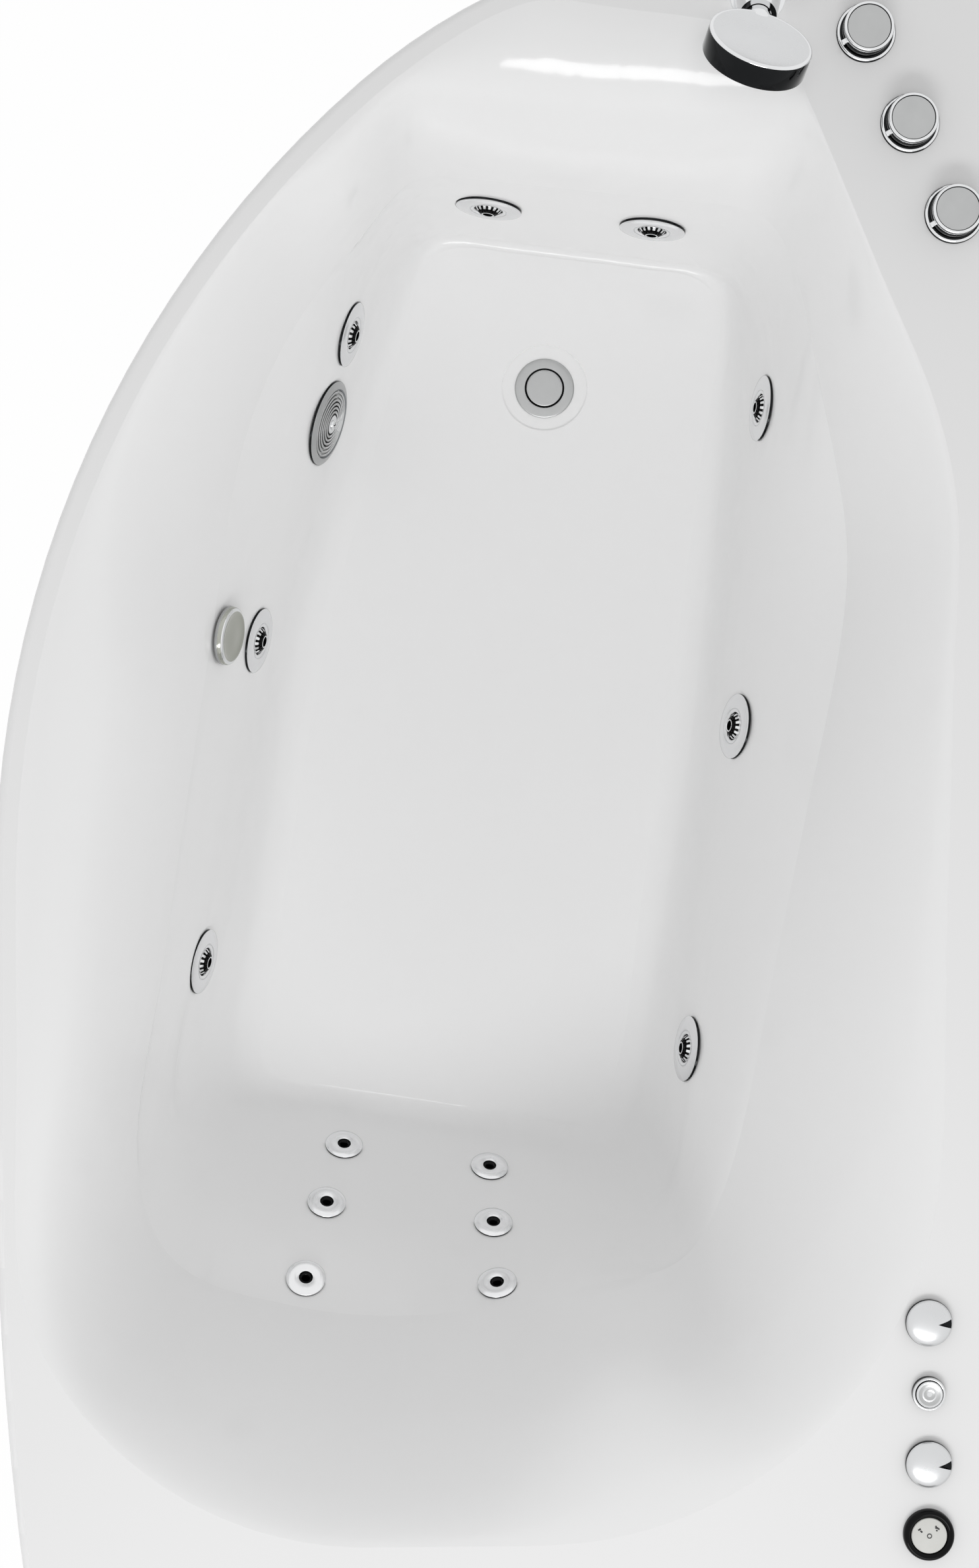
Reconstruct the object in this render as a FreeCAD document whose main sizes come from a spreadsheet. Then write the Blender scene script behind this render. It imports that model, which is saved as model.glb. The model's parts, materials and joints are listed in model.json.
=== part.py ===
import FreeCAD, Part
import math
import os
import re
import Sketcher
from FreeCAD import Placement, Rotation, Vector

# Jetted corner bath. Millimetres, +Z up, +Y towards the drain end, +X towards the wall side.
# The origin is on the floor under the middle of the rim's rectangle.

SIZES = {
    # rim and deck
    "tub_length": 1700, "tub_width": 1000, "rim_height": 600, "shell_wall": 7,
    "lip_drop": 36, "rim_edge_radius": 9,
    "front_widest_y": -83, "front_arc_radius": 1040, "front_arc_angle": 49,
    "front_straight": 247, "head_arc_radius": 3350,
    # basin floor, seen in its own frame that is turned against the rim
    "basin_turn": 10.2, "basin_centre_y": 134, "floor_height": 170, "floor_length": 996,
    "floor_foot_width": 350, "floor_head_width": 420, "foot_skew": 20, "head_skew": 13,
    "head_shift": 7, "floor_bulge_front": 21, "floor_bulge_wall": 4, "foot_taper": 0.6,
    "floor_corner_radius": 55,
    # lower wall: foot of the wall outside the floor edge, and its lean from upright
    "side_fillet": 43, "foot_fillet": 10, "head_fillet": 18,
    "side_lean": 14, "foot_lean": 2.5, "head_lean": 33, "waist_height": 330, "waist_radius": 110,
    # ledge, where the wall turns out towards the rim
    "ledge_height": 400, "ledge_front": 322, "ledge_wall_side": 352, "ledge_foot": 525,
    "ledge_foot_width": 377, "ledge_head": 700, "ledge_head_width": 625, "ledge_radius": 500,
    # crest of the rolled rim, as margins from the rim's edges
    "front_rim": 22, "head_rim": 113, "wall_rim": 55, "wall_rim_head": 82, "foot_rim": 98,
    "tap_deck_width": 232, "tap_deck_length": 520, "head_front_radius": 360,
    "head_wall_radius": 400, "crest_slope": 9,
    # big jets
    "jet_radius": 37, "jet_height": 5, "jet_flange": 33, "jet_flange_height": 2,
    "jet_neck": 22, "jet_chamber": 27, "jet_neck_length": 20, "jet_depth": 56, "jet_wall": 3.2,
    "jet_ball": 18, "jet_ball_seat": 8, "jet_nozzle": 5.5, "jet_nut_radius": 34,
    "jet_nut_height": 9, "side_jet_height": 270, "foot_jet_height": 300,
    "jet_foot_station": 348, "jet_middle_station": -9, "jet_head_station": -375,
    "foot_jet_middle": -16, "foot_jet_spacing": 183,
    # back jets
    "back_jet_radius": 21.5, "back_jet_height": 4, "back_jet_neck": 10, "back_jet_hole": 6.5,
    "back_jet_body": 15, "back_jet_depth": 44, "back_jet_half_spacing": 84, "back_jet_spread": 9,
    "back_jet_low": 228, "back_jet_pitch": 74,
    # water and air pipes
    "pipe_radius": 15, "pipe_bore": 12.5, "air_radius": 6, "air_bore": 4.2,
    "pipe_bend": 45, "port_depth": 38, "air_port_rise": 22.5, "socket_length": 46,
    "suction_pass_u": 325, "suction_pass_v": 292, "front_corner_u": 262, "front_corner_v": 440,
    "foot_corner_u": 165, "foot_corner_v": 550, "wall_corner_u": 250, "wall_corner_v": 548,
    # suction and overflow
    "suction_radius": 49, "suction_height": 7, "suction_neck": 27, "suction_station": 248,
    "suction_level": 252, "suction_depth": 54, "suction_pipe_radius": 18,
    "overflow_knob_radius": 32, "overflow_knob_height": 12, "overflow_station": -14,
    "overflow_level": 368, "overflow_body_radius": 29, "overflow_depth": 48,
    # drain
    "drain_u": -12, "drain_v": 345, "drain_flange_radius": 34.7, "drain_plug_radius": 21.4,
    "drain_hole": 25, "drain_recess_radius": 50, "drain_recess_depth": 2.5,
    "drain_cup_radius": 31, "waste_radius": 20, "waste_bore": 17.5, "drain_cup_bottom": 92,
    "trap_bottom": 36, "trap_reach": 80, "waste_outlet_height": 96, "waste_run": 290,
    "overflow_pipe_radius": 13, "overflow_pipe_bore": 11, "overflow_pipe_height": 108,
    "cable_radius": 3,
    # deck controls
    "control_from_wall": 86, "control_pitch": 69, "control_from_head": 130,
    "air_knob_radius": 25, "air_knob_height": 13, "air_body_radius": 15, "air_body_length": 62,
    "button_radius": 16.4, "button_height": 7, "button_cap_radius": 13, "button_travel": 3.6,
    "panel_radius": 24.9, "panel_disc_radius": 17.4, "panel_height": 8, "panel_depth": 38,
    # taps and hand shower
    "tap_first_from_wall": 61, "tap_first_from_foot": 280, "tap_pitch_x": 43,
    "tap_pitch_y": 88.5, "tap_flange_radius": 29, "tap_flange_height": 4,
    "tap_knob_radius": 24.5, "tap_knob_height": 22, "tap_valve_radius": 16,
    "tap_valve_length": 70, "tap_tail_radius": 10.5, "tap_tail_bore": 7.5, "tap_lever": 9,
    "holder_from_wall": 253, "holder_from_foot": 67, "holder_radius": 27, "holder_reach": 44,
    "handle_radius": 12.5, "handle_reach": 108, "handle_turn": 7, "head_radius": 50.5,
    "head_thickness": 25, "head_tilt": 44, "head_turn": 20, "spray_radius": 44,
    # frame, feet and front panel
    "tube": 25, "tube_wall": 2, "board_thickness": 15, "right_rail_x": 476,
    "left_rail_x": -400, "head_bar_y": -800, "pump_bar_y": -540, "middle_bar_y": -20,
    "drain_bar_y": 350, "drain_bar_left": -300, "foot_bar_y": 800, "foot_bar_left": 112,
    "centre_rail_left_x": -125, "centre_rail_right_x": 155, "foot_post_x": 190,
    "foot_pad_radius": 32, "foot_pad_height": 14, "foot_rod_radius": 6, "foot_rod_top": 168,
    "foot_from_rail": 36, "nut_radius": 11, "nut_height": 8, "panel_wall": 4,
    "panel_inset": 7.6, "panel_ground_gap": 20, "panel_top": 586, "bracket_width": 40,
    "bracket_height": 45, "bracket_thickness": 3, "screw_radius": 2.5, "screw_head": 6,
    # pump
    "pump_x": 60, "pump_y": -672, "pump_axis_height": 112, "volute_radius": 72,
    "volute_width": 58, "motor_radius": 68, "motor_length": 215, "impeller_radius": 52,
    "impeller_width": 22, "shaft_radius": 8, "rotor_radius": 42, "pump_wall": 6,
    "discharge_rise": 32, "inlet_reach": 34, "tray_height": 34, "tray_thickness": 3,
    "feed_height": 258, "feed_y": -543, "suction_run_height": 52,
    # clearances
    "fit_gap": 0.4, "slide_gap": 0.3,
}

doc = FreeCAD.newDocument("jetted_bathtub")
sheet = doc.addObject("Spreadsheet::Sheet", "sizes")
for row, (alias, number) in enumerate(SIZES.items(), start=1):
    sheet.set("A%d" % row, alias)
    sheet.set("B%d" % row, str(number))
    sheet.setAlias("B%d" % row, alias)
doc.recompute()

nodes = []


def size(alias):
    return float(sheet.get(alias))


def bound(formula):
    """The formula with each size's name pointed at its cell."""
    return re.sub(r"[a-z_]{2,}", r"sizes.\g<0>", str(formula))


def value(formula):
    return float(sheet.evalExpression(bound(formula)))


def keep(item, name):
    """Files the item as a piece of the bath under its own name."""
    item.Label = name
    nodes.append(item)
    return item


def turned(name, profile, place=Placement()):
    """A body revolved about its own Z axis; the profile lists (radius, height) formulas."""
    body = doc.addObject("PartDesign::Body", name)
    sketch = body.newObject("Sketcher::SketchObject", name + "_outline")
    plane = [item for item in body.Origin.OriginFeatures if item.Role == "XZ_Plane"]
    sketch.AttachmentSupport = [(plane[0], "")]
    sketch.MapMode = "FlatFace"
    corners = [Vector(value(radius), value(height), 0) for radius, height in profile]
    count = len(corners)
    for i in range(count):
        sketch.addGeometry(Part.LineSegment(corners[i], corners[(i + 1) % count]), False)
    for i in range(count):
        sketch.addConstraint(Sketcher.Constraint("Coincident", i, 2, (i + 1) % count, 1))
    for i, (radius, height) in enumerate(profile):
        for kind, formula, axis, number in (
            ("DistanceX", radius, -2, corners[i].x),
            ("DistanceY", height, -1, corners[i].y),
        ):
            if abs(number) < 1e-9:
                sketch.addConstraint(Sketcher.Constraint("PointOnObject", i, 1, axis))
                continue
            index = sketch.addConstraint(Sketcher.Constraint(kind, -1, 1, i, 1, number))
            sketch.setExpression("Constraints[%d]" % index, bound(formula))
    solid = body.newObject("PartDesign::Revolution", name + "_turned")
    solid.Profile = sketch
    solid.ReferenceAxis = (sketch, ["V_Axis"])
    solid.Angle = 360
    body.Placement = place
    return body


def cylinder(name, radius, length, place=Placement()):
    item = doc.addObject("Part::Cylinder", name)
    item.setExpression("Radius", bound(radius))
    item.setExpression("Height", bound(length))
    item.Placement = place
    return item


def box(name, length, width, height, place=Placement()):
    item = doc.addObject("Part::Box", name)
    item.setExpression("Length", bound(length))
    item.setExpression("Width", bound(width))
    item.setExpression("Height", bound(height))
    item.Placement = place
    return item


def fused(name, members):
    item = doc.addObject("Part::MultiFuse", name)
    item.Shapes = members
    return item


def less(name, base, tool):
    item = doc.addObject("Part::Cut", name)
    item.Base = base
    item.Tool = tool
    return item


def group(name, members):
    """Identical pieces that share one name and stay separate solids."""
    item = doc.addObject("Part::Compound", name)
    item.Links = members
    return keep(item, name)


def shaped(name, shape):
    item = doc.addObject("Part::Feature", name)
    item.Shape = shape
    return item


def upright(x, y, z):
    return Placement(Vector(x, y, z), Rotation())


# ---------------------------------------------------------------- outlines in plan

half_length = size("tub_length") / 2
half_width = size("tub_width") / 2
rim = size("rim_height")
wall = size("shell_wall")
floor = size("floor_height")
gap = size("fit_gap")


def rim_outline(inset=0.0):
    """Edge of the rim: straight wall sides, three tangent arcs along the front."""
    turn = math.radians(size("front_arc_angle"))
    widest = size("front_widest_y")
    big = size("front_arc_radius")
    small = (half_length - widest - big * math.sin(turn)) / (1 - math.sin(turn))
    big_centre = Vector(-half_width + big, widest, 0)
    small_centre = big_centre + Vector(-math.cos(turn), math.sin(turn), 0) * (big - small)
    head = size("head_arc_radius")
    straight_end = widest - size("front_straight")
    head_centre = Vector(-half_width + head, straight_end, 0)

    def on(centre, radius, degrees):
        angle = math.radians(degrees)
        return centre + Vector(math.cos(angle), math.sin(angle), 0) * (radius - inset)

    mid = 180 - size("front_arc_angle")
    right, foot, bottom = half_width - inset, half_length - inset, -half_length + inset
    drop = math.degrees(math.asin((straight_end - bottom) / (head - inset)))
    top = on(small_centre, small, 90)
    meet = on(small_centre, small, mid)
    widest_point = on(big_centre, big, 180)
    side_end = on(head_centre, head, 180)
    head_end = on(head_centre, head, 180 + drop)
    edges = [
        Part.LineSegment(Vector(right, bottom, 0), Vector(right, foot, 0)),
        Part.LineSegment(Vector(right, foot, 0), top),
        Part.Arc(top, on(small_centre, small, (90 + mid) / 2), meet),
        Part.Arc(meet, on(big_centre, big, (180 + mid) / 2), widest_point),
        Part.LineSegment(widest_point, side_end),
        Part.Arc(side_end, on(head_centre, head, 180 + drop / 2), head_end),
        Part.LineSegment(head_end, Vector(right, bottom, 0)),
    ]
    return Part.Wire([edge.toShape() for edge in edges])


def rounded(corners):
    """Closed outline of straight sides with an arc of its own radius at each (x, y, radius)."""
    points = [Vector(x, y, 0) for x, y, _ in corners]
    count = len(corners)
    starts, edges = [], []
    for i in range(count):
        before = (points[i - 1] - points[i]).normalize()
        after = (points[(i + 1) % count] - points[i]).normalize()
        half = before.getAngle(after) / 2
        reach = corners[i][2] / math.tan(half)
        middle = (before + after).normalize() * (corners[i][2] / math.sin(half) - corners[i][2])
        starts.append((points[i] + before * reach, points[i] + middle, points[i] + after * reach))
    for i in range(count):
        edges.append(Part.Arc(*starts[i]).toShape())
        edges.append(Part.LineSegment(starts[i][2], starts[(i + 1) % count][0]).toShape())
    return Part.Wire(edges)


turn = math.radians(size("basin_turn"))
basin_centre = Vector(0, size("basin_centre_y"), 0)
across = Vector(math.cos(turn), -math.sin(turn), 0)
along = Vector(math.sin(turn), math.cos(turn), 0)


def basin_point(u, v, z=0.0):
    return basin_centre + across * u + along * v + Vector(0, 0, z)


def in_plan(corners):
    placed = [(basin_point(u, v), radius) for u, v, radius in corners]
    return rounded([(point.x, point.y, radius) for point, radius in placed])


def floor_outline(side, foot, head, radius):
    """The floor's outline, let out by side, foot and head."""
    foot_half = size("floor_foot_width") / 2 + side * size("foot_taper")
    head_half = size("floor_head_width") / 2 + side
    shift = size("head_shift")
    length = size("floor_length") / 2
    skew_foot, skew_head = size("foot_skew") / 2, size("head_skew") / 2
    middle = (size("floor_foot_width") + size("floor_head_width")) / 4
    soft = size("ledge_radius")
    return in_plan([
        (-foot_half, length + foot - skew_foot, radius),
        (foot_half, length + foot + skew_foot, radius),
        (middle + side + size("floor_bulge_wall"), 0, soft * 3),
        (shift + head_half, -length - head + skew_head, radius),
        (shift - head_half, -length - head - skew_head, radius),
        (-middle - side - size("floor_bulge_front"), 0, soft * 3),
    ])


def ledge_outline():
    front, back = size("ledge_front"), size("ledge_wall_side")
    foot, head = size("ledge_foot"), size("ledge_head")
    foot_half, head_half = size("ledge_foot_width") / 2, size("ledge_head_width") / 2
    soft = size("ledge_radius")
    skew = size("foot_skew")
    return in_plan([
        (-foot_half, foot - skew, soft / 9),
        (foot_half + skew, foot + skew / 2, soft / 6),
        (back, foot / 3, soft),
        (head_half + skew, -head + 6 * skew, soft / 4),
        (0, -head - skew / 2, soft),
        (-head_half + skew, -head, soft / 3.5),
        (-front, foot / 2, soft),
    ])


def crest_outline():
    """Top of the basin, held back from the rim's edge along the front."""
    loose = rounded([
        (-half_width + gap, half_length, gap),
        (half_width - size("tap_deck_width"), half_length - size("foot_rim"), 120),
        (half_width - size("wall_rim"), half_length - size("tap_deck_length"), 200),
        (half_width - size("wall_rim_head"), -half_length + size("head_rim") + 9,
         size("head_wall_radius")),
        (-half_width + 5, -half_length + size("head_rim"), size("head_front_radius")),
    ])
    held = Part.Face(loose).common(Part.Face(rim_outline(size("front_rim"))))
    return held.Faces[0].OuterWire


# ---------------------------------------------------------------- basin surfaces

SPOKES = 40
SPOKE_STRETCH = 2.2


def reach_of(outline):
    """Distance from the basin's centre to the outline along each spoke."""
    reaches = []
    for spoke in range(SPOKES):
        ray = Part.makeLine(basin_centre, basin_centre + spoke_direction(spoke) * 3000)
        reaches.append(max(point.sub(basin_centre).Length
                           for pair in ray.distToShape(outline)[1] for point in pair[:1]))
    return reaches


def spoke_direction(spoke):
    angle = 2 * math.pi * (spoke + 0.5) / SPOKES - math.pi / 2
    return (across * math.cos(angle) + along * math.sin(angle) * SPOKE_STRETCH).normalize()


def bend(first, control, last, share):
    """Point on a quadratic curve between two (reach, height) points."""
    return tuple(
        (1 - share) ** 2 * a + 2 * share * (1 - share) * b + share**2 * c
        for a, b, c in zip(first, control, last)
    )


def basin_rings():
    """Rings of points from the floor's edge up to the crest, one point on each spoke."""
    waist, ledge = size("waist_height"), size("ledge_height")
    rise = waist - floor
    lean = [rise * math.tan(math.radians(size(part + "_lean"))) for part in ("side", "foot", "head")]
    foot_of_wall = [size(part + "_fillet") for part in ("side", "foot", "head")]
    at_waist = [a + b for a, b in zip(foot_of_wall, lean)]
    corner = size("floor_corner_radius")
    edge = reach_of(floor_outline(0, 0, 0, corner))
    foot = reach_of(floor_outline(*foot_of_wall, corner + 20))
    middle = reach_of(floor_outline(*at_waist, size("waist_radius")))
    shoulder = reach_of(ledge_outline())
    crest = reach_of(crest_outline())
    slope = math.tan(math.radians(size("crest_slope")))
    rings = [[] for _ in range(12)]
    for spoke in range(SPOKES):
        centre = basin_centre
        start = (edge[spoke], floor)
        low = (foot[spoke], floor)
        bent = (middle[spoke], waist)
        share = min(0.5, (foot[spoke] - edge[spoke]) / rise)
        wall_start = tuple(a + (b - a) * share for a, b in zip(low, bent))
        top = (shoulder[spoke], ledge)
        out = crest[spoke] - shoulder[spoke]
        run = (rim - ledge) * (shoulder[spoke] - middle[spoke]) / (ledge - waist)
        turn_out = min(max(run, 0.08 * out), 0.77 * out)
        control = (shoulder[spoke] + turn_out, rim - (out - turn_out) * slope)
        end = (crest[spoke], rim)
        profile = [bend(start, low, wall_start, t / 3) for t in range(4)]
        profile += [bend(wall_start, bent, top, t / 3) for t in (1, 2, 3)]
        profile += [bend(top, control, end, t / 5) for t in (1, 2, 3, 4, 5)]
        for ring, (reach, height) in zip(rings, profile):
            ring.append(centre + spoke_direction(spoke) * reach + Vector(0, 0, height))
    return rings


def thickened(rings):
    """The same rings moved out by the wall, square to the surface."""
    moved = []
    last = len(rings) - 1
    for level, ring in enumerate(rings):
        below, above = rings[max(level - 1, 0)], rings[min(level + 1, last)]
        points = []
        for spoke, point in enumerate(ring):
            around = ring[(spoke + 1) % SPOKES] - ring[spoke - 1]
            up = above[spoke] - below[spoke]
            outward = around.cross(up).normalize()
            if outward.dot(point - basin_point(0, 0, point.z)) < 0:
                outward = outward * -1
            if level in (0, last):
                outward = Vector(0, 0, -1)
            points.append(point + outward * wall)
        moved.append(points)
    return moved


def lofted(rings):
    """Solid between closed curves through the rings."""
    steps = [i / SPOKES for i in range(SPOKES + 1)]
    wires = []
    for ring in rings:
        curve = Part.BSplineCurve()
        curve.interpolate(Points=ring, PeriodicFlag=True, Parameters=steps)
        wires.append(Part.Wire([curve.toShape()]))
    return Part.makeLoft(wires, True, False)


LEDGE_RING = 6
inner_rings = basin_rings()
outer_rings = thickened(inner_rings)
lower_basin = lofted(inner_rings[:LEDGE_RING + 1])
upper_basin = lofted(inner_rings[LEDGE_RING:])
basin_skin = lofted(outer_rings)


def seat(u, v, z, direction):
    """Place on the basin's wall, met from inside at a height, with Z square to the wall."""
    start = basin_point(u, v, z)
    ray = Part.makeLine(start, start + direction * 1500)
    solid = lower_basin if z < size("ledge_height") else upper_basin
    inside = ray.common(solid)
    point = max((vertex.Point for vertex in inside.Vertexes), key=lambda p: p.sub(start).Length)
    spot = Part.Vertex(point)
    face = min(solid.Faces, key=lambda item: item.distToShape(spot)[0])
    normal = face.normalAt(*face.Surface.parameter(point))
    if normal.dot(direction) > 0:
        normal = normal * -1
    up = Vector(0, 0, 1)
    side = up.cross(normal).normalize()
    return Placement(point, Rotation(side, normal.cross(side), normal, "ZXY"))


def local(place, x, y, z):
    return place.multVec(Vector(x, y, z))


# ---------------------------------------------------------------- where the fittings sit

jet_stations = [size("jet_%s_station" % part) for part in ("foot", "middle", "head")]
front_jets = [seat(0, v, size("side_jet_height"), across * -1) for v in jet_stations]
wall_jets = [seat(0, v, size("side_jet_height"), across) for v in jet_stations]
foot_jets = [
    seat(size("foot_jet_middle") + side * size("foot_jet_spacing") / 2, 0,
         size("foot_jet_height"), along)
    for side in (-1, 1)
]
# in the order in which the ring of water pipes passes them
jets = [front_jets[2], front_jets[1], front_jets[0]] + foot_jets + wall_jets
back_jets = [
    seat((side + 0.45) * size("back_jet_spread") * row + side * size("back_jet_half_spacing"), 0,
         size("back_jet_low") + row * size("back_jet_pitch"), along * -1)
    for side in (-1, 1) for row in range(3)
]
suction = seat(0, size("suction_station"), size("suction_level"), across * -1)
overflow = seat(0, size("overflow_station"), size("overflow_level"), across * -1)
drain = basin_point(size("drain_u"), size("drain_v"), floor - size("drain_recess_depth"))

controls = [
    Vector(half_width - size("control_from_wall"),
           -half_length + size("control_from_head") + i * size("control_pitch"), rim)
    for i in range(4)
]
panel_spot, air_spot_low, button_spot, air_spot_high = controls
taps = [
    Vector(half_width - size("tap_first_from_wall") - i * size("tap_pitch_x"),
           half_length - size("tap_first_from_foot") + i * size("tap_pitch_y"), rim)
    for i in range(3)
]
holder_spot = Vector(half_width - size("holder_from_wall"),
                     half_length - size("holder_from_foot"), rim)


# ---------------------------------------------------------------- the moulded shell

def hole(place, radius, depth=40.0, above=15.0):
    """Round hole along the place's Z axis."""
    base = local(place, 0, 0, -depth)
    axis = place.Rotation.multVec(Vector(0, 0, 1))
    return Part.makeCylinder(radius, depth + above, base, axis)


def spot_face(place, radius):
    """Flat round seat that the moulding has under a fitting."""
    return hole(place, radius, 0.0, 14.0)


def back_face(place, radius):
    """Flat round seat behind the wall for a fitting's nut."""
    behind_wall = Placement(local(place, 0, 0, -wall - gap), place.Rotation)
    return hole(behind_wall, radius, 14.0, 0.0)


def bath_shell():
    deck = Part.Face(rim_outline()).extrude(Vector(0, 0, size("lip_drop")))
    deck.translate(Vector(0, 0, rim - size("lip_drop")))
    top_edges = [edge for edge in deck.Edges
                 if edge.BoundBox.ZMin > rim - gap and edge.BoundBox.XMax < half_width - gap]
    deck = deck.makeFillet(size("rim_edge_radius"), top_edges[:])
    hollow = Part.Face(rim_outline(wall)).extrude(Vector(0, 0, size("lip_drop")))
    hollow.translate(Vector(0, 0, rim - size("lip_drop") - wall))
    shell = deck.cut(hollow).fuse(basin_skin).cut([lower_basin, upper_basin])
    fits = [hole(place, size("jet_neck") + gap) for place in jets]
    fits += [spot_face(place, size("jet_radius") + 1) for place in jets]
    fits += [back_face(place, size("jet_nut_radius") + 1) for place in jets]
    fits += [hole(place, size("back_jet_neck") + gap) for place in back_jets]
    fits += [spot_face(place, size("back_jet_radius") + 1) for place in back_jets]
    fits += [hole(suction, size("suction_neck") + gap), spot_face(suction, size("suction_radius") + 1),
             hole(overflow, size("overflow_body_radius") / 2 + gap),
             spot_face(overflow, size("overflow_knob_radius") + 1)]
    upright_holes = [(drain, size("drain_hole"))]
    upright_holes += [(spot, size("air_body_radius")) for spot in (air_spot_low, air_spot_high)]
    upright_holes += [(button_spot, value("button_cap_radius - 1")),
                      (panel_spot, value("panel_disc_radius + 1")),
                      (holder_spot, value("holder_radius - 7"))]
    upright_holes += [(spot, size("tap_valve_radius")) for spot in taps]
    fits += [Part.makeCylinder(radius + gap, 40, spot - Vector(0, 0, 20))
             for spot, radius in upright_holes]
    fits.append(Part.makeCylinder(size("drain_recess_radius"), 20, drain))
    # one after another: the solid stays sound, which it doesn't with all of them together
    for tool in fits:
        shell = shell.cut(tool)
    return shell.Solids[0]


shell = keep(shaped("bath_shell", bath_shell()), "bath_shell")


# ---------------------------------------------------------------- big jets

ring_profile = [
    ("jet_ball - 1.2", "jet_flange_height"), ("jet_flange + fit_gap", "jet_flange_height"),
    ("jet_flange + fit_gap", "0"), ("jet_radius", "0"), ("jet_radius", "1.4"),
    ("jet_radius - 5", "jet_height"), ("jet_ball + 2", "jet_height - 0.6"),
    ("jet_ball - 2.4", "jet_height - 1.6"),
]


def jet_ball(name, place):
    """Swivelling ball with its nozzle bored through, centred behind the ring."""
    centre = local(place, 0, 0, -size("jet_ball_seat"))
    spot = Placement(centre, place.Rotation)
    ball = doc.addObject("Part::Sphere", name + "_ball")
    ball.setExpression("Radius", bound("jet_ball"))
    ball.Placement = spot
    drill = doc.addObject("Part::Cone", name + "_nozzle")
    drill.setExpression("Radius1", bound("jet_ball * 0.7"))
    drill.setExpression("Radius2", bound("jet_nozzle"))
    drill.setExpression("Height", bound("jet_ball * 2.2"))
    drill.Placement = Placement(local(place, 0, 0, -value("jet_ball_seat + jet_ball * 1.1")),
                                place.Rotation)
    return keep(less(name, ball, drill), name)


def port_directions(index, middles):
    """Unit vectors from one jet's chamber to its neighbours on the pipe ring."""
    ways = []
    for other in (index - 1, index + 1):
        if 0 <= other < len(middles):
            ways.append((middles[other] - middles[index]).normalize())
    return ways


def chamber_parts(place, neck, chamber, neck_length, depth, flange, flange_height, thin):
    """Outside and cavity of a body behind the wall: flange, neck and closed chamber."""
    axis = place.Rotation.multVec(Vector(0, 0, 1))
    at = lambda z: local(place, 0, 0, z)
    body = Part.makeCylinder(neck, neck_length, at(-neck_length), axis)
    body = body.fuse(Part.makeCylinder(flange, flange_height, at(0), axis))
    body = body.fuse(Part.makeCylinder(chamber, depth - neck_length, at(-depth), axis))
    cavity = Part.makeCylinder(neck - thin, depth - thin + flange_height, at(thin - depth), axis)
    return body, cavity


chambers = [local(place, 0, 0, -size("port_depth")) for place in jets]
air_points = [
    local(place, 0, size("air_port_rise"), -size("port_depth")) for place in jets
]


def corners_after(index, points):
    """Where the pipe from one jet to the next goes round a corner or another fitting."""
    corners = {
        1: [(-size("suction_pass_u"), size("suction_pass_v"))],
        2: [(-size("front_corner_u"), size("front_corner_v")),
            (-size("foot_corner_u"), size("foot_corner_v"))],
        4: [(size("wall_corner_u"), size("wall_corner_v"))],
    }.get(index, [])
    level = (points[index].z + points[index + 1].z) / 2
    return [basin_point(u, v) + Vector(0, 0, level) for u, v in corners]


def joined_ways(index, points):
    """Directions of a jet's two ports, towards its neighbours or the corner between them."""
    ways = []
    if index > 0:
        ways.append(([points[index - 1]] + corners_after(index - 1, points))[-1] - points[index])
    else:
        ways.append(along * -1)
    if index < len(points) - 1:
        ways.append((corners_after(index, points) + [points[index + 1]])[0] - points[index])
    else:
        ways.append(along * -1)
    return [way.normalize() for way in ways]


def jet_bodies():
    bodies = []
    for index, place in enumerate(jets):
        body, cavity = chamber_parts(
            place, size("jet_neck"), size("jet_chamber"), size("jet_neck_length"),
            size("jet_depth"), size("jet_flange"), size("jet_flange_height"), size("jet_wall"))
        cuts = [cavity]
        for points, outer, inner in (
            (chambers, size("pipe_radius"), size("pipe_bore")),
            (air_points, size("air_radius"), size("air_bore")),
        ):
            for way in joined_ways(index, points):
                start = points[index] + way * inner
                body = body.fuse(Part.makeCylinder(outer, size("socket_length") - inner, start, way))
                cuts.append(Part.makeCylinder(inner, size("socket_length"), points[index], way))
        bodies.append(body.cut(cuts))
    return Part.makeCompound(bodies)


keep(shaped("jet_bodies", jet_bodies()), "jet_bodies")
group("jet_rings", [turned("jet_ring_%d" % (i + 1), ring_profile, place)
                    for i, place in enumerate(jets)])
group("jet_locknuts", [
    turned("jet_locknut_%d" % (i + 1), [
        ("jet_neck + slide_gap", "-shell_wall - fit_gap * 2.5"),
        ("jet_nut_radius", "-shell_wall - fit_gap * 2.5"),
        ("jet_nut_radius", "-shell_wall - jet_nut_height"),
        ("jet_neck + slide_gap", "-shell_wall - jet_nut_height"),
    ], place) for i, place in enumerate(jets)])
for i, place in enumerate(jets):
    jet_ball("jet_eyeball_%d" % (i + 1), place)


# ---------------------------------------------------------------- back jets

def back_jet_bodies():
    """Bodies of the back jets, with a stub towards each neighbour in their column."""
    bodies = []
    middles = [local(place, 0, 0, -value("back_jet_depth - back_jet_body")) for place in back_jets]
    for index, place in enumerate(back_jets):
        column = 3 * (index // 3)
        own = middles[column:column + 3]
        body, cavity = chamber_parts(
            place, size("back_jet_neck"), size("back_jet_body"), value("shell_wall + 2"),
            size("back_jet_depth"), size("back_jet_neck"), 0.5, 2.5)
        cuts = [cavity]
        for way in port_directions(index - column, own):
            start = middles[index] + way * 8
            body = body.fuse(Part.makeCylinder(value("air_radius + 2"), 15, start, way))
            cuts.append(Part.makeCylinder(size("air_bore"), 24, middles[index], way))
        bodies.append(body.cut(cuts))
    return Part.makeCompound(bodies), middles


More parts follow.
